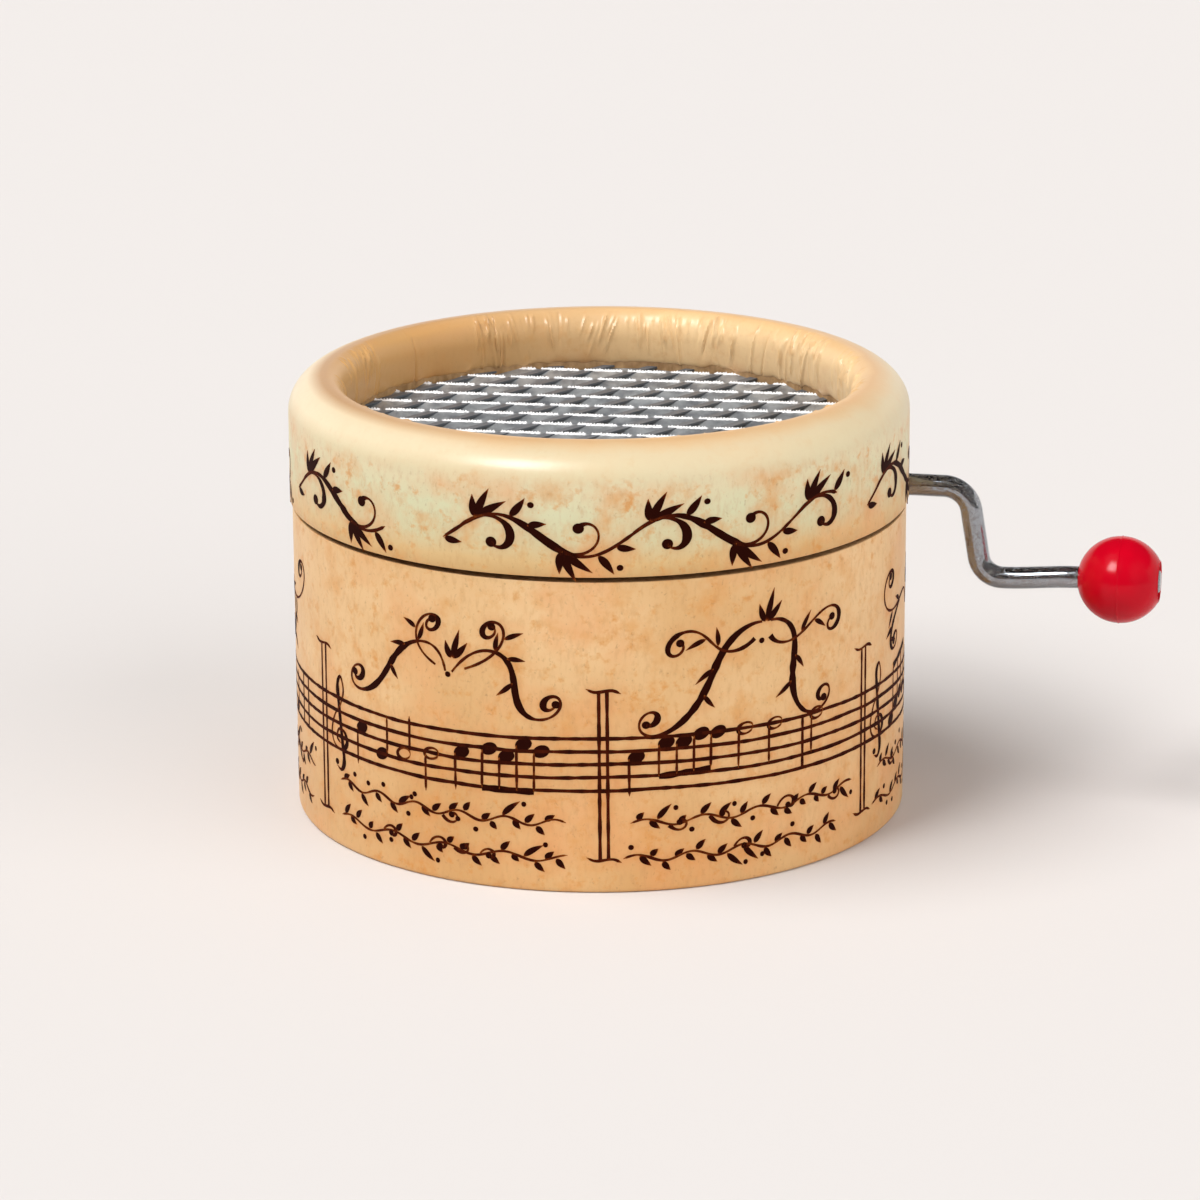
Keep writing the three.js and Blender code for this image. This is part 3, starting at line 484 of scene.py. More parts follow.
score = {
    "bottom": 9.2,
    "spacing": 1.17,
    "line": 0.33,
    "drift": 0.035,  # of a hand-ruled line from its place
    "bars": (-24, 6, 33, 57, 87, 117),
    "barLow": 3.0,
    "barHigh": 18.2,
    "barHalf": 0.34,  # half the distance between its two lines
    "stem": 3.5,
    "head": (1.55, 1.1, 22),  # length, width and slant in degrees
    "hollowHead": (0.72, 0.5, 0.12),  # half length, half height and sideways lean
    "beam": {"reach": 3, "tilt": 0.12, "steepest": 0.5, "gap": 0.85, "width": 0.55},
    "slur": (6.6, 5.2, 4.2),  # how far back it starts, its height in spacings, its length
    "room": {"clef": 3.4, "hollow": 3.0, "full": 2.6, "beamed": 1.55, "slurred": 3.2, "bar": 1.7},
    "clear": {"bar": 2.8, "note": 4, "beamed": 9, "slurred": 8},  # after a bar, and before the next
}


def staffHeight(u):
    # The hand-ruled lines rise and fall together: 0.12 sin(u / 11) + 0.07 sin(u / 4.7)
    return score["bottom"] + 0.12 * np.sin(u / 11) + 0.07 * np.sin(u / 4.7)


def straight(start, end):
    # Start + share (end - start), in pen steps
    start, end = np.asarray(start, float), np.asarray(end, float)
    count = max(int(np.linalg.norm(end - start) / ink["step"]), 3)
    return start + np.linspace(0, 1, count)[:, None] * (end - start)


def note(strokes, u, step, hollow=False, up=True, reach=None):
    # A note head on a line or space, with its stem; gives the stem's end
    v = staffHeight(u) + step * score["spacing"] / 2
    if hollow:
        long, high, lean = score["hollowHead"]
        turn = np.linspace(0, fullTurn, 13)
        ring = [u + long * np.cos(turn) + lean * np.sin(turn), v + high * np.sin(turn)]
        penStroke(strokes, throughPoints(np.column_stack(ring)), 0.2, 0.42)
    else:
        blot(strokes, (u, v), *score["head"])
    side = 1 if up else -1
    end = (u + 0.66 * side + dice.normal(0, 0.03), reach or v + score["stem"] * side)
    penStroke(strokes, straight((u + 0.64 * side, v + 0.15 * side), end), 0.24, 0.24)
    return end


def beamedNotes(strokes, u, steps, gap, beams):
    # Notes whose stems end on one slanted beam, or on two
    up = np.mean(steps) < 4
    side = 1 if up else -1
    beam = score["beam"]
    last = max(steps) if up else min(steps)
    level = staffHeight(u) + last * score["spacing"] / 2 + beam["reach"] * side
    tilt = np.clip((steps[-1] - steps[0]) * beam["tilt"], -beam["steepest"], beam["steepest"])
    places = u + gap * np.arange(len(steps))
    tops = [
        note(strokes, place, step, up=up, reach=level + tilt * index)
        for index, (place, step) in enumerate(zip(places, steps))
    ]
    for number in range(beams):
        drop = (0, -beam["gap"] * number * side)
        line = straight(np.add(tops[0], drop), np.add(tops[-1], drop))
        penStroke(strokes, line, beam["width"], beam["width"], (0, 0))


def slur(strokes, u, v, length):
    # A flat bow over two notes, thick in the middle
    bow = [(u, v), (u + length * 0.3, v + 0.75), (u + length * 0.7, v + 0.8), (u + length, v)]
    swell(strokes, throughPoints(bow), 0.5, 1.2)


def trebleClef(strokes, u):
    # In steps of the staff's spacing, from the line that the spiral winds round
    points = [
        (0.1, -0.55), (-0.45, -0.15), (-0.15, 0.55), (0.65, 0.45), (0.95, -0.35), (0.25, -1.0),
        (-0.85, -0.75), (-1.2, 0.25), (-0.75, 1.5), (0.15, 2.6), (0.55, 3.75), (0.2, 4.75),
        (-0.25, 4.1), (-0.1, 2.5), (0.3, -0.3), (0.5, -1.9), (0.1, -2.6), (-0.55, -2.4),
    ]
    size = score["spacing"]
    middle = np.array([u, staffHeight(u) + size])
    penStroke(strokes, throughPoints(np.array(points) * size + middle), 0.22, 0.5)
    blot(strokes, middle + np.array((-0.5, -2.1)) * size, 0.6, 0.55)


def sectionBar(strokes, u):
    # Two upright lines past the staff, with a short waved stroke across each end
    low, high = score["barLow"], score["barHigh"]
    for side in (-1, 1):
        foot, top = u + score["barHalf"] * side + dice.normal(0, 0.06, 2)
        penStroke(strokes, straight((foot, low), (top, high)), 0.3, 0.3, (0, 0))
    for v in (low, high):
        points = [(u - 1.5, v + 0.25), (u - 0.7, v - 0.05), (u + 0.7, v + 0.1), (u + 1.5, v - 0.2)]
        penStroke(strokes, throughPoints(points), 0.26, 0.34)


def sections(around):
    # The left and right end of each section between bars, once round the can
    bars = score["bars"]
    return zip(bars, (*bars[1:], bars[0] + around))


def drawScore(strokes, around):
    # Five hand-ruled lines, and in each section a row of signs drawn by lot
    u = np.arange(-around / 2, around / 2 + ink["step"], ink["step"])
    for line in range(5):
        drift = np.interp(u, np.linspace(u[0], u[-1], 60), dice.normal(0, score["drift"], 60))
        drift *= np.clip((around / 2 - np.abs(u)) / 2, 0, 1)
        path = np.column_stack([u, staffHeight(u) + line * score["spacing"] + drift])
        penStroke(strokes, path, score["line"], score["line"], (0, 0))
    room, clear = score["room"], score["clear"]
    for index, (left, right) in enumerate(sections(around)):
        sectionBar(strokes, left)
        at = left + clear["bar"]
        if index % 2 == 0:
            trebleClef(strokes, at)
            at += room["clef"]
        step = int(dice.integers(1, 6))
        while at < right - clear["note"]:
            kind = dice.integers(0, 8)
            step = int(np.clip(step + dice.integers(-3, 4), 0, 8))
            if kind < 2:
                note(strokes, at, step, hollow=True, up=step < 4)
                at += room["hollow"]
            elif kind < 4:
                note(strokes, at, step, up=step < 4)
                at += room["full"]
            elif kind < 6 and at < right - clear["beamed"]:
                steps = np.clip(step + np.cumsum(dice.integers(-1, 3, 4)) - 1, 0, 8)
                beamedNotes(strokes, at, steps, room["beamed"], int(dice.integers(1, 3)))
                at += room["beamed"] * 3 + room["full"]
            elif kind == 6 and at < right - clear["slurred"]:
                for _ in range(2):
                    note(strokes, at, step, up=step < 4)
                    at += room["slurred"]
                back, height, length = score["slur"]
                slur(strokes, at - back, staffHeight(at) + height * score["spacing"], length)
            else:
                low = staffHeight(at)
                bar = straight((at, low), (at, low + 4 * score["spacing"]))
                penStroke(strokes, bar, 0.3, 0.3, (0, 0))
                at += room["bar"]


flourishes = {
    "base": 17.4,
    "size": 1.4,
    "thin": 0.24,
    "thick": 0.68,
    "slant": 0.28,
    "leaves": ((0.3, 50), (0.42, -52)),  # share of the way along a scroll, and lean
    "crown": ((-46, 1.5), (0, 2.1), (46, 1.5)),  # lean and length of the leaves in the middle
    # The height of the leaves in the middle, and the start, heading and curvature of a wing's scrolls
    "kinds": (
        (2.2, (
            ((0.2, 1.2), 66, [(0, -0.1), (2.5, -0.55), (5, -0.4), (8, 0.3), (10.5, 0.7), (15, 2.6)]),
            ((1.0, 1.6), 24, [(0, 0.05), (2, 0.35), (4, 0.8), (8, 2.8)]),
        )),
        (4.1, (
            ((0.2, 4.2), 10, [(0, -0.5), (2.5, -0.42), (5, 0.12), (8, 0.32), (10, 0.8), (13.6, 2.8)]),
            ((0.5, 3.3), -55, [(0, 0.6), (2.4, 0.5), (4.5, -0.4), (6.5, -1.1), (9, -2.8)]),
        )),
        (2.4, (
            ((0.1, 1.0), 82, [(0, -0.55), (2.5, -0.5), (4.5, 0.15), (8, 0.5), (10.5, 1.1), (13.5, 2.8)]),
            ((3.2, 2.3), -35, [(0, 0.1), (2, -0.5), (4.5, -1.2), (7, -2.8)]),
        )),
    ),
}


def flourish(strokes, middle, size, kind):
    # Scrolls either side of a middle, slanted like penwork: a wing is drawn, and then drawn mirrored
    thin, thick, base = flourishes["thin"], flourishes["thick"], flourishes["base"]
    height, wing = flourishes["kinds"][kind]
    mine = []
    for side in (-1, 1):
        for number, (start, heading, knots) in enumerate(wing):
            path = penPath(np.array(start) * size, heading, size, knots)
            path = path * (side, 1) + (middle, base)
            penStroke(mine, path, thin, thick * (1 - 0.12 * number), (0, 0))
            blot(mine, path[-1], thick * 1.1, thick)
            for share, lean in flourishes["leaves"]:
                at = int(len(path) * share)
                step = path[at + 1] - path[at]
                turn = math.degrees(math.atan2(step[1], step[0]))
                leaf(mine, path[at], turn + lean * side, 1.3 * size, 0.42, -0.5 * side)
    for lean, length in flourishes["crown"]:
        leaf(mine, (middle, base + height * size), 90 + lean, length * size, 0.55, -lean * 0.012)
    blot(mine, (middle, base + (height - 1.1) * size), 0.55, 0.5)
    for stroke in mine:
        stroke[:, 0] += flourishes["slant"] * (stroke[:, 1] - base)
    strokes += mine


vines = {"height": 1.6, "thin": 0.2, "thick": 0.46, "bases": (5.6, 2.4)}


def leafyVine(strokes, left, right, base):
    # Stem: base + height (0.45 + 0.2 sin(along)), with slanted leaves, curls and berries on both sides
    height, thin, thick = vines["height"], vines["thin"], vines["thick"]
    u = np.arange(left, right, ink["step"])
    wave = height * dice.uniform(2.6, 3.6)
    stem = np.column_stack([u, base + height * (0.45 + 0.2 * np.sin((u - left) * fullTurn / wave))])
    penStroke(strokes, stem, thin, thick * 0.9)
    at, side = left + height * 0.3, 1
    while at < right - height * 0.6:
        place = (at, np.interp(at, u, stem[:, 1]))
        kind = dice.integers(0, 8)
        reach = height * dice.uniform(0.75, 1.1)
        lean = 58 * side + dice.normal(0, 6)
        if kind < 5:
            leaf(strokes, place, lean, reach * 0.8, thick * 1.15, -0.5 * side)
        elif kind == 5:
            leaf(strokes, place, lean, reach * 1.3, thick * 1.1, -0.6 * side)
            blot(strokes, (place[0] + reach * 1.2, place[1] + side * reach * 0.75), thick, thick)
        elif kind == 6:
            curl(strokes, place, lean, reach * 0.5, -side, thin, thick)
        else:
            blot(strokes, (place[0] + thin, place[1] + side * reach * 0.6), thick * 1.1, thick)
        at += height * dice.uniform(0.42, 0.7)
        side = -side


def drawBody():
    # The score once round, and in each of its sections a flourish above and two vines below
    strokes = []
    around = fullTurn * bodyRadius
    drawScore(strokes, around)
    for index, (left, right) in enumerate(sections(around)):
        middle = (left + right) / 2 + dice.uniform(-1, 1)
        flourish(strokes, middle, flourishes["size"] * dice.uniform(0.88, 1), index % 3)
        for base in vines["bases"]:
            leafyVine(strokes, left + dice.uniform(1.6, 3), right - dice.uniform(1.6, 5), base)
    return strokes


def drawLid():
    strokes = []
    for left, right in scrolls["runs"]:
        runningScroll(strokes, left, right)
    return strokes


bodyInk, lidInk = drawBody(), drawLid()
print("ink drawn:", len(bodyInk) + len(lidInk), "pen lines")

halo = {"cell": 0.25, "reach": 0.55}


def haloImage(strokes, around):
    # How much ink lies round each place: area of the lines in each cell, spread by a bell of the given reach
    points = np.concatenate(strokes)
    cell = halo["cell"]
    columns = round(around / cell)
    rows = int(lidTop / cell) + 1
    column = np.round(points[:, 0] / around * columns).astype(int) % columns
    row = np.clip(np.round(points[:, 1] / cell).astype(int), 0, rows - 1)
    image = np.zeros((rows, columns))
    np.add.at(image, (row, column), points[:, 2] * 2 * ink["step"] / cell**2)
    image = np.minimum(image, 1)
    waves = np.meshgrid(np.fft.fftfreq(rows, cell), np.fft.fftfreq(columns, cell), indexing="ij")
    bell = np.exp(-2 * (math.pi * halo["reach"]) ** 2 * (waves[0] ** 2 + waves[1] ** 2))
    return np.real(np.fft.ifft2(np.fft.fft2(image) * bell))


def haloAt(image, angles, heights):
    # The halo at each height (down) and angle (across), read between its cells
    rows, columns = image.shape
    column = np.asarray(angles)[None] / fullTurn * columns
    row = np.clip(np.asarray(heights) / halo["cell"], 0, rows - 1.001)
    left, low = np.floor(column).astype(int), np.floor(row).astype(int)
    x, y = column - left, row - low
    corners = [image[(low + j) % rows, (left + i) % columns] for j in (0, 1) for i in (0, 1)]
    bottom = corners[0] * (1 - x) + corners[1] * x
    top = corners[2] * (1 - x) + corners[3] * x
    return bottom * (1 - y) + top * y


# Paper skins

notch = {"fit": 0.35, "columns": 41}


def notchRise(angles, radius):
    # Half height of the wire's round hole at each angle: the root of hole squared - across squared
    hole = wireRadius + notch["fit"]
    across = -radius * np.cos(angles) - crankAxis[1]
    inside = (np.abs(across) < hole) & (np.sin(angles) > 0)
    return np.where(inside, np.sqrt(np.maximum(hole**2 - across**2, 0)), 0)


def skinAngles(count, radius):
    # Even angles, but cosine steps across the notch, so that its round edge stays round
    hole = wireRadius + notch["fit"]
    across = crankAxis[1] + hole * np.cos(np.linspace(0, math.pi, notch["columns"]))
    close = np.arccos(-across / radius)
    even = anglesOf(count)
    margin = fullTurn / count / 2
    apart = (even < close.min() - margin) | (even > close.max() + margin)
    return np.sort(np.concatenate([even[apart], close]))


bodyPaper = {
    "thickness": 0.2,
    "edgeRound": 0.35,
    "cutRound": 0.05,
    "turnUnder": 1.4,
    "columns": 540,
    "wallRows": 72,
    "overlapAt": 196.0,  # degrees round from the front, at the back
    "overlapWidth": 7.0,
    "overlapStep": 0.12,
    "overlapFade": 2.5,
    "waviness": 0.015,
    "waveLength": 9,
    "clouds": 15,
    "shift": (-0.12, 0.16),  # along the tones, at the foot and at the top
    "tones": ((0.25, "#d3a165"), (0.5, "#ddb077"), (0.78, "#e9c28e")),
}
bodyWave = smoothNoise(3, 720, bodyPaper["waveLength"], fullTurn * bodyRadius)


def paperStep(angles):
    # The sheet's outer end lies on its inner end: a sharp step up, and a slow fall after the overlap
    along = np.radians(np.degrees(angles) % 360 - bodyPaper["overlapAt"]) * bodyRadius
    rise = np.clip(along / 0.1, 0, 1)
    fall = np.clip((along - bodyPaper["overlapWidth"]) / bodyPaper["overlapFade"], 0, 1)
    return bodyPaper["overlapStep"] * rise * (1 - fall * fall * (3 - 2 * fall))


def bodyOutside(angles):
    # Body radius + the overlap's step + waviness times smooth noise
    wavy = np.interp(angles, anglesOf(720), bodyWave, period=fullTurn) * bodyPaper["waviness"]
    return bodyRadius + paperStep(angles) + wavy


def bodySkinPoints(angles):
    # Rows of (radius, height): foot round, wall up to the edge, over it, down inside and in under the tube
    outer = bodyOutside(angles)
    inner = outer - bodyPaper["thickness"]
    top = np.minimum(bodyTop, seamHeight - notchRise(angles, bodyRadius))
    foot, cut = bodyPaper["edgeRound"], bodyPaper["cutRound"]
    rows = []
    for x, y in arcOf((-foot, foot), (foot, foot), -90, 0, 6):
        rows.append((outer + x, np.full_like(outer, y)))
    for share in np.linspace(0, 1, bodyPaper["wallRows"])[1:]:
        rows.append((outer, foot + share * (top - cut - foot)))
    for x, y in arcOf((-cut, -cut), (cut, cut), 20, 90, 4):
        rows.append((outer + x, top + y))
    rows.append((inner + cut, top))
    rows.append((inner, top - cut))
    lip = np.full_like(outer, bodyRadius - bodyPaper["turnUnder"])
    for height in (bodyTop / 2, bodyPaper["thickness"]):
        rows.append((inner, np.full_like(outer, height)))
    rows.append((lip, np.full_like(outer, bodyPaper["thickness"])))
    rows.append((lip, np.zeros_like(outer)))
    return np.stack([np.stack(row, -1) for row in rows])


agedPrint = {
    # Lump width in mm, detail, upright stretch, where it starts, where it is full, share, colour
    "layers": (
        (9, 4, 1, 0.48, 0.68, 0.6, "#e39d60"),
        (3.5, 6, 1, 0.52, 0.7, 0.6, "#d8954a"),
        (1.3, 5, 1, 0.56, 0.7, 0.7, "#d48c38"),
        (0.45, 3, 2.5, 0.5, 0.8, 0.4, "#c08a52"),
        (0.3, 2, 1.3, 0.62, 0.76, 0.35, "#95622f"),
    ),
    "stain": "#cc7f3c",
    "stainSize": 1.1,
    "toothSize": 0.5,
    "toothDepth": 0.012,
    "roughness": (0.31, 0.42),  # where it is bare and where it is printed
    "ior": 1.48,
    "sheen": 0.14,
    "sheenTint": "#ffdcb0",
}


def agedPaper(tree, place, base):
    # Satin-laminated paper printed to look old: brown blotches, orange spots, short dark fibres,
    # and the orange stain that old ink leaves round itself
    printed = addNode(tree, "Attribute", {"attribute_name": "printed"}, "Fac")
    for size, detail, stretch, low, high, share, shade in agedPrint["layers"]:
        spread = addNode(tree, "Mapping", {"Vector": place, "Scale": (1, 1, 1 / stretch)})
        settings = {"Vector": spread, "Scale": 1 / (size * mm), "Detail": detail, "Roughness": 0.62}
        lumps = addNode(tree, "TexNoise", settings)
        part = addNode(tree, "MapRange", {0: lumps, 1: low, 2: high, 4: share})
        part = addNode(tree, "Math", {"operation": "MULTIPLY", 0: part, 1: printed})
        base = addNode(tree, "Mix", {"data_type": "RGBA", 0: part, 6: base, 7: shade}, 2)
    around = addNode(tree, "Attribute", {"attribute_name": "halo"}, "Fac")
    cloud = {"Vector": place, "Scale": 1 / (agedPrint["stainSize"] * mm), "Detail": 4}
    cloud = addNode(tree, "TexNoise", cloud)
    cloud = addNode(tree, "MapRange", {0: cloud, 1: 0.35, 2: 0.65, 3: 0.5, 4: 1.6})
    stain = {"operation": "MULTIPLY", "use_clamp": True, 0: around, 1: cloud}
    stain = addNode(tree, "Math", stain)
    stain = {"data_type": "RGBA", 0: stain, 6: base, 7: agedPrint["stain"]}
    base = addNode(tree, "Mix", stain, 2)
    tooth = {"Vector": place, "Scale": 1 / (agedPrint["toothSize"] * mm)}
    tooth = addNode(tree, "TexNoise", tooth)
    relief = {"Height": tooth, "Distance": agedPrint["toothDepth"] * mm}
    relief = addNode(tree, "Bump", relief)
    bare, full = agedPrint["roughness"]
    gloss = addNode(tree, "MapRange", {0: printed, 3: bare, 4: full})
    settings = {"Base Color": base, "Normal": relief, "Roughness": gloss, "IOR": agedPrint["ior"]}
    return settings | {"Sheen Weight": agedPrint["sheen"], "Sheen Tint": agedPrint["sheenTint"]}


def tanPaper(tree, place):
    # The body's sheet is tan, a little paler near the top and darker at the foot
    height = addNode(tree, "SeparateXYZ", {"Vector": place}, "Z")
    cloud = {"Vector": place, "Scale": 1 / (bodyPaper["clouds"] * mm), "Detail": 4}
    cloud = addNode(tree, "TexNoise", cloud)
    foot, top = bodyPaper["shift"]
    level = addNode(tree, "MapRange", {0: height, 1: 0, 2: bodyTop * mm, 3: foot, 4: top})
    level = addNode(tree, "Math", {"operation": "ADD", 0: cloud, 1: level})
    base = addNode(tree, "ValToRGB", {"Fac": level, "ramp": bodyPaper["tones"]})
    return agedPaper(tree, place, base)


def addBodyPaper():
    angles = skinAngles(bodyPaper["columns"], bodyRadius)
    rows = bodySkinPoints(angles)
    around = haloAt(haloImage(bodyInk, fullTurn * bodyRadius), angles, rows[..., 1])
    values = {"halo": around, "printed": np.ones(rows.shape[:2])}
    material = newMaterial("satin printed paper, tan", tanPaper)
    addPiece("body_paper", "body_wrap", [gridShell(turned(rows, angles))], material, values)


lidPaper = {
    "thickness": 0.2,
    "cutRound": 0.05,
    "ridgeInset": 3.5,  # from the outside in to the top of the rim
    "outerDrop": 3.2,
    "innerReach": 1.6,
    "innerDrop": 2.6,
    "underReach": 0.3,
    "columns": 1400,
    "wallRows": 13,
    "outerRows": 14,
    "innerRows": 15,
    "underRows": 13,
    "insideRows": 12,
    "grilleGap": 0.06,  # from the torn edge to the grille, where the paper reaches lowest
    "ragged": 0.55,
    "raggedLength": 1.6,
    # The print is plain on the rolled rim: how strong it is at shares of the way across the sheet
    "printAt": (0.4, 0.47, 0.7, 0.8),
    "print": (1, 0.12, 0.12, 0.3),
    "clouds": 5,
    "cloudShare": 0.08,
    "tintFade": 0.07,  # share of the way across over which a tint comes in
    # From the lower edge of the wall over the rim to the grille; the last stops, down inside the rim, are
    # paler than the paper itself, painted light that lifts the recess's shade
    "tones": (
        (0.03, "#cba067"), (0.1, "#d9b77f"), (0.2, "#d4ca9f"), (0.33, "#d6d4ad"), (0.44, "#dfd2ab"),
        (0.61, "#d6c39f"), (0.72, "#d8ac79"), (0.84, "#ffd79e"), (1, "#ffd79d"),
    ),
    # Painted light and shade by side, for light from the left: on the left a painted highlight pales the rim
    # outside and painted shade browns it inside, and on the right painted light pales it inside. Share of
    # the way across where a tint starts, x in mm where it starts and where it is full, colour, share
    "tints": (
        (0.45, 0, -24, "#f6e5c4", 0.7),
        (0.6, 2, -20, "#b37e45", 0.85),
        (0.69, 2, -20, "#dcaa6a", 0.8),
        (0.74, -12, 18, "#ffdcaa", 0.9),
    ),
}

wrinkle = {
    "seed": 8,
    "clusters": 74,
    "inCluster": (3, 9),
    "spread": 0.9,
    "width": (0.06, 0.16),
    "height": (0.05, 0.2),
    "lean": 0.22,  # sideways for each millimetre down the wall
    "leanVaries": 0.08,
    "signs": (1, 1, -0.6),  # two ridges to a groove
    "start": (0.1, 2.2),  # below the crest
    "fadeIn": 0.4,
    "fadeOut": 0.9,
    "near": 0.12,  # radians to each side within which a pleat is worked out
    "reach": (0.8, 3.6),  # how far a pleat runs down from the crest
    "long": 6.5,  # and a few run further
    "usual": 0.85,  # share that don't
    "smooth": (222.0, 240.0),  # degrees round where the paper lies flat
}


def wrinkleHeight(angles, down):
    # Sum of pleats in clusters: height times exp(-(across / width) squared), from near the crest down
    chance = np.random.default_rng(wrinkle["seed"])
    total = np.zeros((len(down), len(angles)))
    radius = lidRadius - lidPaper["ridgeInset"]
    first, last = np.radians(wrinkle["smooth"])
    for centre in chance.uniform(0, fullTurn, wrinkle["clusters"]):
        slope = chance.normal(0, wrinkle["lean"])
        beside = chance.normal(0, wrinkle["spread"], chance.integers(*wrinkle["inCluster"]))
        for middle in centre + beside / radius:
            width = chance.uniform(*wrinkle["width"])
            height = chance.uniform(*wrinkle["height"]) * chance.choice(wrinkle["signs"])
            lean = slope + chance.normal(0, wrinkle["leanVaries"])
            start = chance.uniform(*wrinkle["start"])
            usual = chance.random() < wrinkle["usual"]
            reach = chance.uniform(*wrinkle["reach"]) if usual else wrinkle["long"]
            if first < middle < last:
                continue
            near = np.abs((angles - middle + math.pi) % fullTurn - math.pi) < wrinkle["near"]
            across = ((angles[near] - middle + math.pi) % fullTurn - math.pi) * radius
            across = across[None] - lean * (down[:, None] - start)
            fade = np.clip((down - start) / wrinkle["fadeIn"], 0, 1)
            fade *= np.clip((start + reach - down) / wrinkle["fadeOut"], 0, 1)
            total[:, near] += height * np.exp(-((across / width) ** 2)) * fade[:, None]
    return total


def lidSkinRows(angles):
    # Rows of (radius, height): the wall, a quarter ellipse up to the ridge, one down inside it and one
    # back out under that
    even = np.ones_like(angles)
    bottom = np.maximum(lidBottom, seamHeight + notchRise(angles, lidRadius))
    cut = lidPaper["cutRound"]
    shoulder = lidTop - lidPaper["outerDrop"]
    ridge = lidRadius - lidPaper["ridgeInset"]
    edge = arcOf((-cut, 0), (cut, cut), -80, -10, 3)
    rows = [((lidRadius + x) * even, bottom + cut + y) for x, y in edge]
    for share in np.linspace(0, 1, lidPaper["wallRows"]):
        low = bottom + cut
        rows.append((lidRadius * even, low + share * (shoulder - low)))
    outer = arcOf(
        (ridge, shoulder),
        (lidPaper["ridgeInset"], lidPaper["outerDrop"]),
        0, 90, lidPaper["outerRows"],
    )
    inner = arcOf(
        (ridge, lidTop - lidPaper["innerDrop"]),
        (lidPaper["innerReach"], lidPaper["innerDrop"]),
        90, 180, lidPaper["innerRows"],
    )
    rows += [(x * even, y * even) for x, y in [*outer[1:], *inner[1:]]]
    # The torn edge of the paper stops short of the grille by a varying amount
    tear = smoothNoise(11, 2048, lidPaper["raggedLength"], fullTurn * ridge)
    tear = np.interp(angles, anglesOf(2048), tear, period=fullTurn)
    level = lidTop - lidPaper["innerDrop"]
    drop = level - grilleTop - lidPaper["grilleGap"] - lidPaper["ragged"] * (0.5 + 0.5 * tear)
    middle = ridge - lidPaper["innerReach"] + lidPaper["underReach"]
    for angle in np.radians(np.linspace(180, 270, lidPaper["underRows"]))[1:]:
        radius = middle + lidPaper["underReach"] * math.cos(angle)
        rows.append((radius * even, level + drop * math.sin(angle)))
    return np.stack([np.stack(row, -1) for row in rows])


def creamPaper(tree, place):
    # The lid's sheet is cream on the wall, ivory on the shoulder and golden tan down inside the rim, where
    # it is painted paler, painted light against the recess's shade
    across = addNode(tree, "Attribute", {"attribute_name": "across"}, "Fac")
    cloud = {"Vector": place, "Scale": 1 / (lidPaper["clouds"] * mm), "Detail": 4}
    cloud = addNode(tree, "TexNoise", cloud)
    level = {"operation": "MULTIPLY_ADD", 0: cloud, 1: lidPaper["cloudShare"], 2: across}
    level = addNode(tree, "Math", level)
    base = addNode(tree, "ValToRGB", {"Fac": level, "ramp": lidPaper["tones"]})
    side = addNode(tree, "SeparateXYZ", {"Vector": place}, "X")
    # Each tint is painted light or painted shade, by side
    for start, none, full, shade, share in lidPaper["tints"]:
        inside = addNode(tree, "MapRange", {0: across, 1: start, 2: start + lidPaper["tintFade"]})
        part = addNode(tree, "MapRange", {0: side, 1: none * mm, 2: full * mm, 4: share})
        part = addNode(tree, "Math", {"operation": "MULTIPLY", 0: part, 1: inside})
        base = addNode(tree, "Mix", {"data_type": "RGBA", 0: part, 6: base, 7: shade}, 2)
    return agedPaper(tree, place, base)


def addLidPaper():
    angles = skinAngles(lidPaper["columns"], lidRadius)
    rows = lidSkinRows(angles)
    slope = np.gradient(rows, axis=0)
    outwards = np.stack([slope[..., 1], -slope[..., 0]], -1)
    outwards /= np.linalg.norm(outwards, axis=-1, keepdims=True)
    length = np.linalg.norm(np.diff(rows.mean(1), axis=0), axis=-1)
    length = np.concatenate([[0], np.cumsum(length)])
    crest = np.argmax(rows[:, 0, 1])
    down = np.maximum(length - length[crest], 0)
    # Outside: skin + outward normal times the height of the pleats. Inside: fewer rows, skin - normal
    # times the thickness
    outside = rows + outwards * wrinkleHeight(angles, down)[..., None]
    every = np.unique(np.linspace(0, len(rows) - 1, lidPaper["insideRows"]).astype(int))[::-1]
    inside = rows[every] - outwards[every] * lidPaper["thickness"]
    across = np.concatenate([length, length[every]]) / length[-1]
    rows = np.concatenate([outside, inside])
    around = haloAt(haloImage(lidInk, fullTurn * bodyRadius), angles, rows[..., 1])
    across = np.repeat(across[:, None], len(angles), 1)
    printed = np.interp(across, lidPaper["printAt"], lidPaper["print"])
    values = {"across": across, "halo": around, "printed": printed}
    material = newMaterial("satin printed paper, cream", creamPaper)
    addPiece("lid_paper", "lid_wrap", [gridShell(turned(rows, angles))], material, values)


inkLayer = {
    "lift": 0.02,
    "sink": 0.05,
    "broad": 0.3,  # half width from which the ink is full
    "blotches": 0.7,
    "blotchShare": 0.6,
    "tones": ((0.4, "#8e4917"), (0.7, "#4a1704"), (1, "#260500")),
    "roughness": 0.6,
    "ior": 1.12,
}


def ironGallInk(tree, place):
    # Iron-gall ink, printed: near black where it is broad, brown where it is thin, with an uneven edge
    flow = {"Vector": place, "Scale": 1 / (inkLayer["blotches"] * mm), "Detail": 4, "Roughness": 0.7}
    flow = addNode(tree, "TexNoise", flow)
    weight = addNode(tree, "Attribute", {"attribute_name": "weight"}, "Fac")
    level = {"operation": "MULTIPLY_ADD", 0: flow, 1: inkLayer["blotchShare"], 2: weight}
    level = addNode(tree, "Math", level)
    colour = addNode(tree, "ValToRGB", {"Fac": level, "ramp": inkLayer["tones"]})
    return {"Base Color": colour, "Roughness": inkLayer["roughness"], "IOR": inkLayer["ior"]}


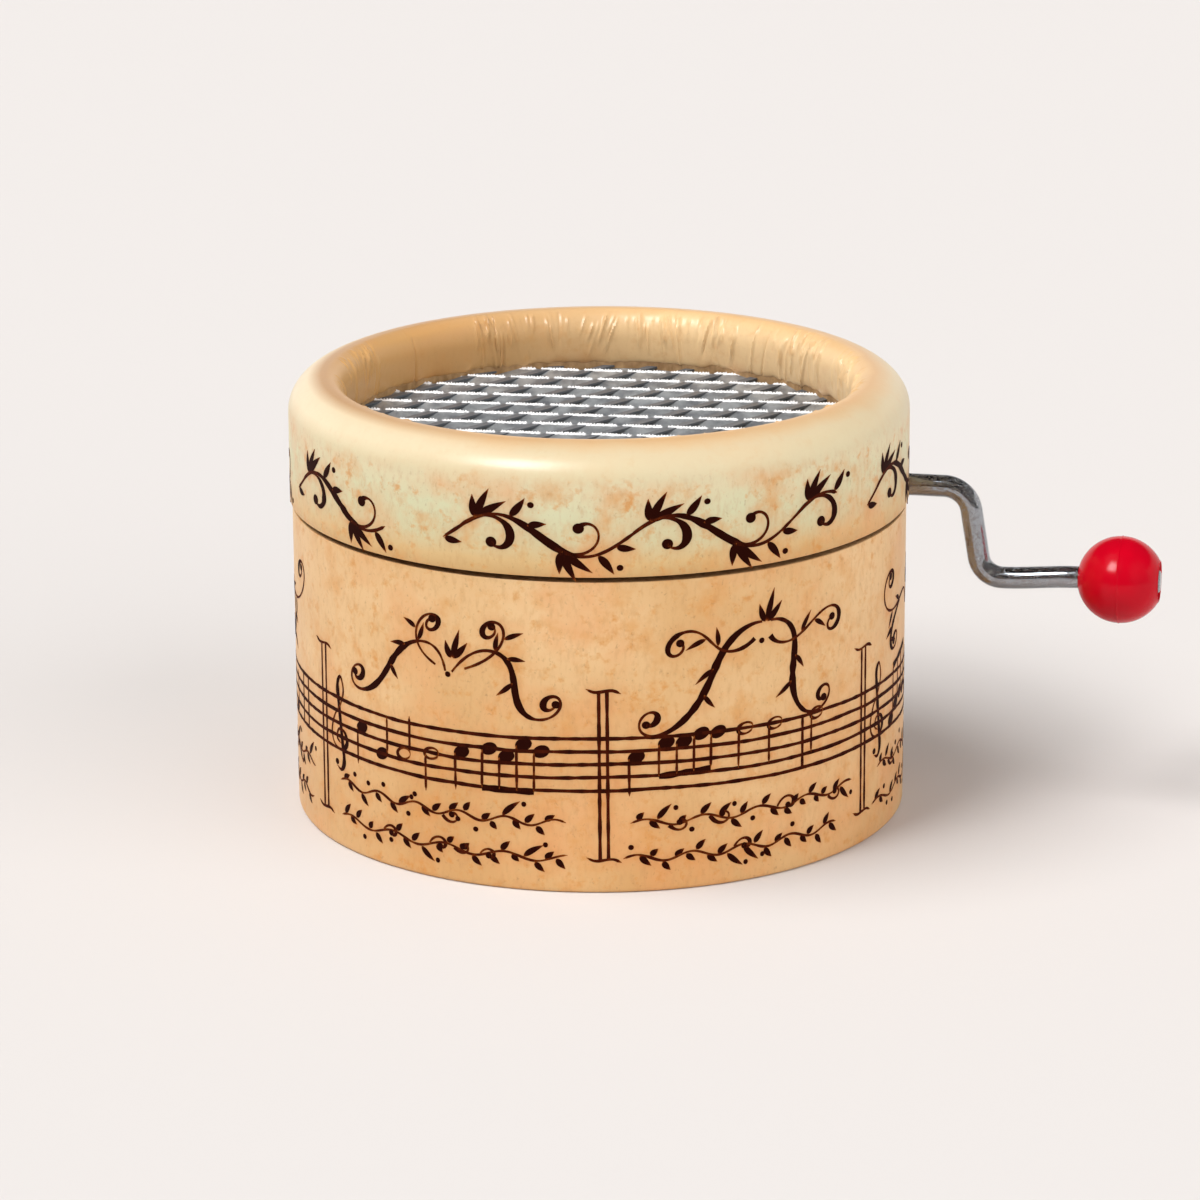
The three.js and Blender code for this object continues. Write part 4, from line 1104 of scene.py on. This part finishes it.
def inkShell(stroke, radiusAt):
    # A pen line on the wall: two edges just proud of the paper, and a keel sunk in it
    path, half = stroke[:, :2], stroke[:, 2:]
    step = np.gradient(path, axis=0)
    step /= np.maximum(np.linalg.norm(step, axis=1, keepdims=True), 1e-6)
    beside = np.stack([-step[:, 1], step[:, 0]], -1) * half
    lift, sink = inkLayer["lift"], inkLayer["sink"]
    rows = []
    for flat, rise in ((path + beside, lift), (path - beside, lift), (path, -sink)):
        angle = flat[:, 0] / bodyRadius
        radius = radiusAt(angle) + rise
        rows.append(np.stack([radius * np.sin(angle), -radius * np.cos(angle), flat[:, 1]], -1))
    return gridShell(np.stack(rows, 1), closeRows=False)


def addInk(name, node, strokes, radiusAt, material):
    # All the pen lines of one skin; a point's weight is its half width over the broad one
    shells = [inkShell(stroke, radiusAt) for stroke in strokes]
    weights = [np.repeat(np.clip(stroke[:, 2] / inkLayer["broad"], 0, 1), 3) for stroke in strokes]
    addPiece(name, node, shells, material, {"weight": np.concatenate(weights)}, replacing=False)


addBodyPaper()
addLidPaper()
inkFinish = newMaterial("printed iron-gall ink", ironGallInk)
addInk("body_ink", "body_wrap", bodyInk, bodyOutside, inkFinish)
addInk("lid_ink", "lid_wrap", lidInk, lambda angle: np.full_like(angle, lidRadius), inkFinish)
print("paper skins made")


# Grille of expanded metal

grille = {
    "pitch": 4.08,
    "rowAngle": 4.3,
    "ribAngle": 58.8,
    "shift": 0.39,  # of a pitch, where a row of gaps has its middle
    "rowWidth": 2.1,
    "thickness": 0.2,
    "rowTilt": 17.0,
    "rowMiddle": -0.42,
    "lip": (0.03, -0.07, -0.1, -0.12),  # its four edges across, from the strand's upper edge
    "burr": 0.15,
    "lean": 0.11,  # of the torn lip, away from the strand
    "tooth": 0.27,
    "uneven": 0.55,  # of a tooth's height
    "ragged": 0.14,  # where the lip's back meets the strand
    "dash": 3.72,  # length of the torn lip between two ribs
    "dashFade": 0.12,
    "ribWidth": 0.8,
    "ribMiddle": -0.1,
    "border": 1.9,
    # The border ring is painted with most of the ribs' dark tone, a painted shadow along the grille's edge
    "borderShade": 0.8,  # how much of the ribs' tone it has
    "columns": 240,
    "steps": (0.1, 0.5),  # between the stations of a row and of a rib
    "mottle": 1.6,
    "mottleDepth": 0.03,
    "tones": ((0.35, "#808285"), (0.65, "#b3b5b6")),
    # The ribs' dark tone is painted shade, and the lips' white is a painted glint
    "ribTone": "#5c6167",
    "lipTone": "#ffffff",
    "metallic": 0.4,
    "roughness": 0.36,
}


def strandShell(offset, angle, section, step, bend=None):
    # A strand along a chord of the disc: its section (across, up), changed by
    # bend(sections, stations, offset)
    reach = grilleHigh[0] - grille["border"] / 2
    half = math.sqrt(max(reach**2 - offset**2, 0))
    if half < 1:
        return None
    stations = np.linspace(-half, half, int(2 * half / step) + 2)
    section = np.repeat(np.asarray(section, float)[None], len(stations), 0)
    if bend:
        section = bend(section, stations, offset)
    along = np.array([math.cos(angle), math.sin(angle), 0])
    aside = np.array([-math.sin(angle), math.cos(angle), 0])
    points = stations[:, None, None] * along + (section[..., :1] + offset) * aside
    points[..., 2] = section[..., 1] + grilleTop
    return gridShell(points, closeRows=False)


def tiltedSection(width, tilt, middle):
    # A flat strip's four corners, turned by tilt about its middle, which lies at the given height
    c, s = math.cos(math.radians(tilt)), math.sin(math.radians(tilt))
    x, y = width / 2, grille["thickness"] / 2
    corners = ((-x, -y), (x, -y), (x, y), (-x, y))
    return [(x * c - y * s, middle + x * s + y * c) for x, y in corners]


def shearedSteel(tree, place):
    # Zinc-plated steel, sheared and stretched: satin grey faces, ribs and border painted dark and
    # non-metallic as painted shade, and torn lips painted white and non-metallic as a painted glint
    mottle = {"Vector": place, "Scale": 1 / (grille["mottle"] * mm), "Detail": 3}
    mottle = addNode(tree, "TexNoise", mottle)
    colour = addNode(tree, "ValToRGB", {"Fac": mottle, "ramp": grille["tones"]})
    metal, rough = grille["metallic"], grille["roughness"]
    for key, shade in (("rib", grille["ribTone"]), ("sheared", grille["lipTone"])):
        share = addNode(tree, "Attribute", {"attribute_name": key}, "Fac")
        mix = {"data_type": "RGBA", 0: share, 6: colour, 7: shade}
        colour = addNode(tree, "Mix", mix, 2)
        metal = addNode(tree, "Mix", {"data_type": "FLOAT", 0: share, 2: metal, 3: 0.0})
    relief = addNode(tree, "Bump", {"Height": mottle, "Distance": grille["mottleDepth"] * mm})
    return {"Base Color": colour, "Normal": relief, "Metallic": metal, "Roughness": rough}


def addGrille():
    rowAngle, ribAngle = math.radians(grille["rowAngle"]), math.radians(grille["ribAngle"])
    between, pitch = ribAngle - rowAngle, grille["pitch"]
    rowStep, ribStep = grille["steps"]
    spacing = pitch * math.sin(between)
    shells, values = [], {"rib": [], "sheared": []}
    flat = tiltedSection(grille["rowWidth"], grille["rowTilt"], grille["rowMiddle"])
    edge, top = flat[2]
    section = [*flat[:3], *((edge + across, top) for across in grille["lip"]), flat[3]]
    tilt = math.radians(grille["rowTilt"])
    slope = np.array([math.cos(tilt), math.sin(tilt)])

    def keep(shell, rib, lip=0.0):
        # Takes in a shell, and how much of a rib and of a torn lip each of its points is, which sets how
        # much painted shade and painted glint it gets
        shells.append(shell)
        for key, share in (("rib", rib), ("sheared", lip)):
            values[key].append(np.zeros(len(shell[0])) + share)

    def lipShare(stations, offset):
        # Full between the ribs, which cross at offset / tan(between) + (whole + 0.5) pitch, and none
        # on them
        along = (stations - offset / math.tan(between)) / pitch
        beside = (0.5 - np.abs(along % 1 - 0.5)) * pitch
        return np.clip((grille["dash"] / 2 - beside) / grille["dashFade"], 0, 1)

    def torn(sections, stations, offset):
        # The lip is torn: uneven teeth, each a little higher or lower than the next
        chance = np.random.default_rng(len(stations))
        rough = np.abs((stations / grille["tooth"]) % 1 - 0.5) * 2
        rough += chance.uniform(0, grille["uneven"], len(stations))
        rough *= lipShare(stations, offset)
        sections[:, 3:5, 1] = top + grille["burr"] * rough[:, None]
        sections[:, 3:5, 0] += grille["lean"] * rough[:, None]
        sections[:, 5:7] -= chance.uniform(0, grille["ragged"], len(stations))[:, None, None] * slope
        return sections

    count = int(grilleHigh[0] / spacing) + 2
    for number in range(-count, count + 1):
        # A row of strands lies half a step beside each row of gaps
        offset = (number + grille["shift"] + 0.5) * spacing
        shell = strandShell(offset, rowAngle, section, rowStep, torn)
        if shell:
            reach = math.hypot(*shell[0][0, :2])
            half = math.sqrt(max(reach**2 - (offset + section[0][0]) ** 2, 0))
            share = lipShare(np.linspace(-half, half, len(shell[0]) // len(section)), offset)
            # The lip's points carry the painted glint, half at the strand's upper edge
            keep(shell, 0.0, np.outer(share, [0, 0, 0.5, 1, 1, 1, 0, 0]).ravel())
    flat = tiltedSection(grille["ribWidth"], 0, grille["ribMiddle"])
    for number in range(-count, count + 1):
        shell = strandShell(-(number + 0.5) * spacing, ribAngle, flat, ribStep)
        if shell:
            keep(shell, 1.0)
    outer, inner = grilleHigh[0], grilleHigh[0] - grille["border"]
    ring = [(inner, grilleLow[2]), (outer, grilleLow[2]), (outer, grilleTop), (inner, grilleTop)]
    # The border ring takes that painted shadow
    keep(gridShell(turned(ring, anglesOf(grille["columns"]))), grille["borderShade"])
    values = {key: np.concatenate(parts) for key, parts in values.items()}
    material = newMaterial("zinc-plated expanded steel", shearedSteel)
    addPiece("grille_mesh", "grille", shells, material, values)


addGrille()
print("grille made")


# Crank and bead

crank = {
    "upperBendStart": 30.0,
    "upperBend": 2.5,
    "lowerBend": 2.2,
    "lean": 9.5,
    "sag": 0.4,  # how far the lower bend hangs below the bead's axis
    "riseEnd": 0.4,  # how far before the bead the wire is back on its axis
    "sides": 48,
    "stations": (60, 16, 24),  # of the straight inside, of a bend and of the straight outside
    "stakeStart": 0.03,  # beyond the floor of the bead's hollow
    # The staked end: length, and share of the radius at shares of it
    "stakeLength": 0.5,
    "stake": ((0, 1), (0.12, 1), (0.4, 1), (0.75, 1), (0.95, 0.865), (1, 0.82)),
    "pits": 0.13,
    "pitDepth": 0.045,
    "tones": ((0.35, "#92979c"), (0.6, "#b8bcc1")),
    "roughness": (0.07, 0.16),
}

bead = {
    "flat": 3.5,
    "chamfer": 0.1,
    "knobFit": 0.09,
    "hollow": (1.8, 0.45),  # radius and depth of the hollow round the wire's staked end
    "hollowEase": 0.04,
    "hollowSlope": 0.1,
    "seamWidth": 0.06,
    "seamHeight": 0.05,
    "rows": 120,
    "columns": 128,
    "swirl": 3,
    "swirlDepth": 0.01,
    "tones": ((0.3, "#b9001a"), (0.7, "#c5001c")),
    "roughness": 0.19,
    "ior": 1.27,
}


def wireStations():
    # Centre line in the plane of the crank: straight, quarter bend, leaning arm, quarter bend, straight
    drop = crankAxis[2] - knobAxis[2] + crank["sag"]
    bend = math.radians(90 - crank["lean"])
    upper, lower = crank["upperBend"], crank["lowerBend"]
    straight = (drop - (upper + lower) * (1 - math.cos(bend))) / math.sin(bend)
    start = crank["upperBendStart"]
    stakeAt = knobAxis[0] + bead["flat"] - bead["hollow"][1] + crank["stakeStart"]
    first, curve, last = crank["stations"]
    turn = np.linspace(0, bend, curve)
    x = [np.linspace(wireLow[0], start, first)[:-1], start + upper * np.sin(turn)]
    z = [np.zeros(first - 1), -upper * (1 - np.cos(turn))]
    angle = [np.zeros(first - 1), turn]
    elbow = start + upper * math.sin(bend) + straight * math.cos(bend) + lower * math.sin(bend)
    back = turn[::-1]
    x += [elbow - lower * np.sin(back), np.linspace(elbow, stakeAt, last)[1:]]
    # Up to the bead, the wire rises by the sag: 3 share squared - 2 share cubed
    share = np.clip((x[-1] - elbow) / (knobAxis[0] - bead["flat"] - crank["riseEnd"] - elbow), 0, 1)
    z += [lower * (1 - np.cos(back)) - drop, crank["sag"] * share * share * (3 - 2 * share) - drop]
    angle += [back, np.zeros(last - 1)]
    return np.concatenate(x), np.concatenate(z), np.concatenate(angle)


def nickelWire(tree, place):
    # Nickel-plated steel wire: bright, with tiny pits drawn out along it
    grain = {"Vector": place, "Scale": 1 / (crank["pits"] * mm), "Detail": 2, "Roughness": 0.6}
    grain = addNode(tree, "TexNoise", grain)
    colour = addNode(tree, "ValToRGB", {"Fac": grain, "ramp": crank["tones"]})
    smooth, rough = crank["roughness"]
    gloss = addNode(tree, "MapRange", {0: grain, 1: 0.3, 2: 0.7, 3: smooth, 4: rough})
    pits = addNode(tree, "MapRange", {0: grain, 1: 0.53, 2: 0.64})
    relief = addNode(tree, "Bump", {"Height": pits, "Distance": crank["pitDepth"] * mm})
    return {"Base Color": colour, "Normal": relief, "Metallic": 1, "Roughness": gloss}


def addWire():
    # Each ring: centre + radius (cos(around) upwards + sin(around) sideways), tipped with the wire, and
    # at the far end the wire is staked flush in the bead, drawn in a little at its face
    x, z, turn = wireStations()
    share, narrow = np.transpose(crank["stake"])
    x = np.concatenate([x, x[-1] + share * crank["stakeLength"]])[:, None]
    z = np.concatenate([z, np.full(len(share), z[-1])])[:, None]
    radius = wireRadius * np.concatenate([np.ones(len(turn)), narrow])[:, None]
    turn = np.concatenate([turn, np.zeros(len(share))])[:, None]
    around = anglesOf(crank["sides"])
    up, aside = radius * np.cos(around), radius * np.sin(around)
    points = [x + up * np.sin(turn), aside + crankAxis[1], z + up * np.cos(turn) + crankAxis[2]]
    shell = gridShell(np.stack(points, -1), closeRows=False)
    addPiece("crank_wire", "crank_rod", [shell], newMaterial("nickel-plated wire", nickelWire), sharp=50)


def redPolystyrene(tree, place):
    # Polystyrene moulded in a polished tool: deep, glossy red, faintly uneven
    swirl = addNode(tree, "TexNoise", {"Vector": place, "Scale": 1 / (bead["swirl"] * mm)})
    colour = addNode(tree, "ValToRGB", {"Fac": swirl, "ramp": bead["tones"]})
    relief = addNode(tree, "Bump", {"Height": swirl, "Distance": bead["swirlDepth"] * mm})
    rough, ior = bead["roughness"], bead["ior"]
    return {"Base Color": colour, "Normal": relief, "Roughness": rough, "IOR": ior}


def addBead():
    # A ball cut off flat at its outer end, with a hollow in the flat and the bore through it
    beadHigh = boxOf("knob_bead")[1]
    radius = beadHigh[2] - knobAxis[2]
    bore = wireRadius + bead["knobFit"]
    start = math.degrees(-math.acos(bore / radius))
    end = math.degrees(math.asin((bead["flat"] - bead["chamfer"]) / radius))
    profile = arcOf((0, 0), (radius, radius), start, end, bead["rows"])
    # The parting line is a small ridge: height times exp(-(place / width) squared)
    profile[:, 0] += bead["seamHeight"] * np.exp(-((profile[:, 1] / bead["seamWidth"]) ** 2))
    rim = profile[-1][0] - bead["chamfer"]
    flat, (wide, deep) = bead["flat"], bead["hollow"]
    ease, slope = bead["hollowEase"], bead["hollowSlope"]
    hollow = [(wide + ease, flat), (wide, flat - ease), (wide - slope, flat - deep), (bore, flat - deep)]
    shell = gridShell(turned([*profile, (rim, flat), *hollow], anglesOf(bead["columns"])))
    material = newMaterial("moulded red polystyrene", redPolystyrene)
    addPiece("bead", "knob_bead", [placed(shell, "x", knobAxis)], material)


addWire()
addBead()
print("crank and bead made")


# Boards, block and movement

finishes = {
    # For each slot: what it is, lump width in mm, stretch along x, y and z, the two colours,
    # metallic, the roughness from and to, relief in mm
    # Grey-brown chipboard, rolled: flecked with fibres, matt
    "board": (
        "rolled grey-brown chipboard",
        0.7, (1, 1, 2), ("#a07a50", "#c39d70"), 0, (0.8, 0.9), 0.02,
    ),
    # Planed beech: long, fine grain along x, dull
    "wood_block": (
        "planed beech",
        0.8, (9, 1, 1), ("#b98453", "#d3a470"), 0, (0.5, 0.65), 0.015,
    ),
    # Zinc-plated sheet: cool, pale grey, a little cloudy
    "plated_steel": (
        "zinc-plated steel sheet",
        1.5, (1, 1, 1), ("#b6b8ba", "#ced0d1"), 1, (0.28, 0.4), 0.004,
    ),
    # Ground spring steel: darker, with fine lines along the teeth
    "spring_steel": (
        "ground spring steel",
        0.25, (14, 1, 1), ("#8d9298", "#adb1b6"), 1, (0.22, 0.36), 0.004,
    ),
    # Nickel-plated screws: bright and smooth
    "screw_steel": (
        "nickel-plated steel screws",
        1.0, (1, 1, 1), ("#c0c0c2", "#d0d0d2"), 1, (0.14, 0.22), 0.002,
    ),
    # Turned brass: yellow, satin, with fine rings
    "brass": (
        "turned brass",
        0.3, (1, 6, 1), ("#bd9440", "#d2ae58"), 1, (0.22, 0.34), 0.003,
    ),
    # Cast lead: dull blue-grey, dented
    "lead": (
        "cast lead",
        0.6, (1, 1, 1), ("#5f646b", "#7b8087"), 1, (0.55, 0.7), 0.02,
    ),
    # Moulded nylon: milky white, waxy
    "nylon": (
        "moulded white nylon",
        1.2, (1, 1, 1), ("#e2dfd4", "#efece3"), 0, (0.35, 0.45), 0.005,
    ),
}
finishMade = {}


def plainFinish(tree, place, size, stretch, colours, metallic, gloss, depth):
    # Lumps of noise tint the surface and vary its gloss and relief
    squeeze = [1 / each for each in stretch]
    place = addNode(tree, "Mapping", {"Vector": place, "Scale": squeeze})
    lumps = {"Vector": place, "Scale": 1 / (size * mm), "Detail": 5, "Roughness": 0.6}
    lumps = addNode(tree, "TexNoise", lumps)
    stops = [(0.35, colours[0]), (0.65, colours[1])]
    colour = addNode(tree, "ValToRGB", {"Fac": lumps, "ramp": stops})
    rough = addNode(tree, "MapRange", {0: lumps, 1: 0.3, 2: 0.7, 3: gloss[0], 4: gloss[1]})
    relief = addNode(tree, "Bump", {"Height": lumps, "Distance": depth * mm})
    return {"Base Color": colour, "Roughness": rough, "Normal": relief, "Metallic": metallic}


def finishOf(node):
    # The material of a fixed node's slot, made once
    slot = slotOf[node]
    if slot not in finishMade:
        title, *details = finishes[slot]
        finishMade[slot] = newMaterial(title, plainFinish, *details)
    return finishMade[slot]


def addFixed(name, node, shells):
    # A piece made here in the place of a fixed node, with the plain finish of its slot
    addPiece(name, node, shells, finishOf(node))


def eased(profile, ease):
    # Each corner of a closed profile gives way to three points: ease back, 0.3 ease inwards, and ease on
    corner = np.asarray(profile, float)
    back, on = np.roll(corner, 1, 0) - corner, np.roll(corner, -1, 0) - corner
    back /= np.linalg.norm(back, axis=1, keepdims=True)
    on /= np.linalg.norm(on, axis=1, keepdims=True)
    points = (corner + back * ease, corner + (back + on) * ease * 0.3, corner + on * ease)
    return np.stack(points, 1).reshape(-1, 2)


boards = {
    "gap": 0.25,  # from the paper's outside to the board
    "bodyInner": 25.75,
    "bodyTop": 27.8,
    "neckInner": 24.2,
    "neckOuter": 25.6,
    "neckLow": 2.05,
    "neckTop": 32.3,
    "slotWidth": 2.7,
    "slotColumns": 31,
    "slotMargins": (0.8, 0.002),  # from the slot to the two columns beside it
    "lidLow": 28.3,
    "lidInner": 25.75,
    "lidLedge": (25.05, 33.45),
    "ledgeStep": 0.3,  # from the end of the rim's inner curve down to the ledge
    "ringInner": 23.95,
    "ringHeight": (32.35, 32.85),
    "ringEdge": 0.1,
    "ringColumns": 200,
    "edge": 0.12,
    "columns": 180,
}


# The upper or lower edge of each wall, where the slot's round end, seam height -+ rise, cuts it
def bodyEdge(rise):
    return np.minimum(boards["bodyTop"], seamHeight - rise)


def neckEdge(rise):
    return np.where(rise > 0, seamHeight - rise, boards["neckTop"])


def lidEdge(rise):
    return np.maximum(boards["lidLow"], seamHeight + rise)


def slotAngles(radius):
    # Angles at one radius, with close steps across the wire's slot, which stays as wide inside as
    # outside, and half the height of its round end at each: the root of half squared - across squared
    half = boards["slotWidth"] / 2
    close = half * np.cos(np.linspace(math.pi, 0, boards["slotColumns"]))
    far, near = boards["slotMargins"]
    close = np.concatenate([[-half - far, -half - near], close, [half + near, half + far]])
    close = np.arccos(-(crankAxis[1] + close) / radius)
    others = np.linspace(close[-1], close[0] + fullTurn, boards["columns"])[1:-1]
    angles = np.concatenate([close, others])
    across = -radius * np.cos(angles) - crankAxis[1]
    return angles, np.sqrt(np.maximum(half**2 - across**2, 0)) * (np.sin(angles) > 0)


def tubeShell(profile):
    # Profile: (radius, height) rows carried round; a height may be a function of the slot's rise
    rows, turns = [], []
    for radius, height in profile:
        angles, rise = slotAngles(radius)
        level = height(rise) if callable(height) else np.full_like(angles, height)
        rows.append(np.stack([np.full_like(angles, radius), level], -1))
        turns.append(angles)
    return gridShell(turned(np.stack(rows), np.stack(turns)))


def wallShell(inner, outer, low, topAt):
    # An upright tube with eased edges, whose top the slot's round end cuts
    edge = boards["edge"]

    def below(rise):
        return topAt(rise) - edge

    return tubeShell([
        (outer - edge, low), (outer, low + edge), (outer, below), (outer - edge, topAt),
        (inner + edge, topAt), (inner, below), (inner, low + edge), (inner + edge, low),
    ])


def addBoards():
    gap, neck = boards["gap"], (boards["neckInner"], boards["neckOuter"], boards["neckLow"])
    body = wallShell(boards["bodyInner"], bodyRadius - gap, gap, bodyEdge)
    addFixed("body_board", "body_tube", [body])
    addFixed("neck_board", "neck_tube", [wallShell(*neck, neckEdge)])

    # The lid's wall and rolled rim, the gap inside the paper, and the ledge that the ring lies against
    ridge, middle = lidRadius - lidPaper["ridgeInset"], lidTop - lidPaper["innerDrop"]
    under = ridge - lidPaper["innerReach"] + lidPaper["underReach"]
    ledgeRadius, ledge = boards["lidLedge"]
    shoulder = (ridge, lidTop - lidPaper["outerDrop"])
    outside = arcOf(shoulder, (lidPaper["ridgeInset"] - gap, lidPaper["outerDrop"] - gap), 0, 90, 14)
    reach = (lidPaper["innerReach"] - gap, lidPaper["innerDrop"] - gap)
    inside = arcOf((ridge, middle), reach, 90, 180, 12)
    reach = (lidPaper["underReach"] - gap, middle - ledge - boards["ledgeStep"])
    below = arcOf((under, middle), reach, 180, 262, 10)
    rim = [*outside, *inside[1:], *below[1:], (ledgeRadius, ledge), (boards["lidInner"], ledge)]
    lid = [(lidRadius - gap, lidEdge), *rim, (boards["lidInner"], lidEdge)]
    addFixed("lid_board", "lid_tube", [tubeShell(lid)])

    (low, high), inner, outer = boards["ringHeight"], boards["ringInner"], grilleHigh[0]
    ring = [(inner, low), (outer, low), (outer, high), (inner, high)]
    ring = turned(eased(ring, boards["ringEdge"]), anglesOf(boards["ringColumns"]))
    addFixed("grille_board", "grille_ring", [gridShell(ring)])


drum = {
    "tube": (5.7, 6.5),
    "ends": (-12.4, 5.4),
    "round": 0.12,
    "pinRadius": 0.2,
    "pinFoot": 6.1,
    "pinTop": 7.1,
    "pinTip": (0.6, 0.08),  # share of its radius at the tip, and how long its cone is
    "rows": 18,
    "pinsInRow": 4,
    "rowShift": 0.382,  # of the way from pin to pin
    "firstRow": -11.575,
    "rowPitch": 0.95,
    "arborRadius": 1.0,
    "arborEnds": (-16.2, 13.7),
    "arborTip": ((0.5, 0), (0.85, 0.06), (1, 0.25)),  # shares of its radius at distances from an end
}


def addDrum():
    # The tube and its pins; a pin's place is (radius sin(turn), y, radius cos(turn)) round the arbor
    centre = (drumAxis[0], 0, drumAxis[2])
    (inner, outer), (front, back) = drum["tube"], drum["ends"]
    ring = [(inner, front), (outer, front), (outer, back), (inner, back)]
    tube = gridShell(turned(eased(ring, drum["round"]), anglesOf(160)))
    shells = [placed(tube, "y", centre)]
    radius, foot, tip = drum["pinRadius"], drum["pinFoot"], drum["pinTop"]
    narrow, cone = drum["pinTip"]
    profile = [(radius, foot), (radius, tip - cone), (radius * narrow, tip)]
    pin, faces = gridShell(turned(profile, anglesOf(12)), closeRows=False)
    x, y, z = pin.T
    for row in range(drum["rows"]):
        for index in range(drum["pinsInRow"]):
            turn = (index + row * drum["rowShift"] % 1) / drum["pinsInRow"] * fullTurn
            c, s = math.cos(turn), math.sin(turn)
            points = np.stack([x * c + z * s, y, z * c - x * s], -1)
            points += (drumAxis[0], drum["firstRow"] + drum["rowPitch"] * row, drumAxis[2])
            shells.append((points, faces))
    addFixed("pinned_drum", "drum", shells)

    radius, (front, back) = drum["arborRadius"], drum["arborEnds"]
    profile = [(radius * share, front + at) for share, at in drum["arborTip"]]
    profile += [(radius * share, back - at) for share, at in reversed(drum["arborTip"])]
    arbor = gridShell(turned(profile, anglesOf(64)), closeRows=False)
    addFixed("arbor", "drum_arbor", [placed(arbor, "y", centre)])


copies = {
    "merge": 0.002,  # doubles closer than this become one
    "flat": 1,  # degrees between triangles that are joined
    "sharp": 35,  # degrees past which an edge is rounded
    "segments": 2,
    "round": 0.06,  # and in these copies another
    "rounds": {
        "base_disc": 0.2,
        "resonance_block": 0.35,
        "bedplate": 0.12,
        "comb": 0.03,
        "comb_base": 0.1,
        "drive_frame": 0.1,
        "drum_bracket": 0.1,
        "worm_wheel": 0.05,
        "worm": 0.03,
    },
}


def addCopy(node):
    # A copy of a fixed node: doubles merged, flat triangles joined, edges rounded
    name, sharp = node + "_eased", copies["sharp"]
    mesh = bpy.data.objects[node].data.copy()
    mesh.name = name
    work = bmesh.new()
    work.from_mesh(mesh)
    bmesh.ops.remove_doubles(work, verts=work.verts, dist=copies["merge"] * mm)
    flat = math.radians(copies["flat"])
    bmesh.ops.dissolve_limit(work, angle_limit=flat, verts=work.verts, edges=work.edges)
    work.to_mesh(mesh)
    work.free()
    bevel = finishPiece(name, node, mesh, finishOf(node), sharp).modifiers.new("edges", "BEVEL")
    bevel.width = copies["rounds"].get(node, copies["round"]) * mm
    bevel.segments = copies["segments"]
    bevel.limit_method = "ANGLE"
    bevel.angle_limit = math.radians(sharp)
    bevel.use_clamp_overlap = True


addBoards()
addDrum()
for node in sorted(set(slotOf) - dressed):
    addCopy(node)
print("boards and movement made")
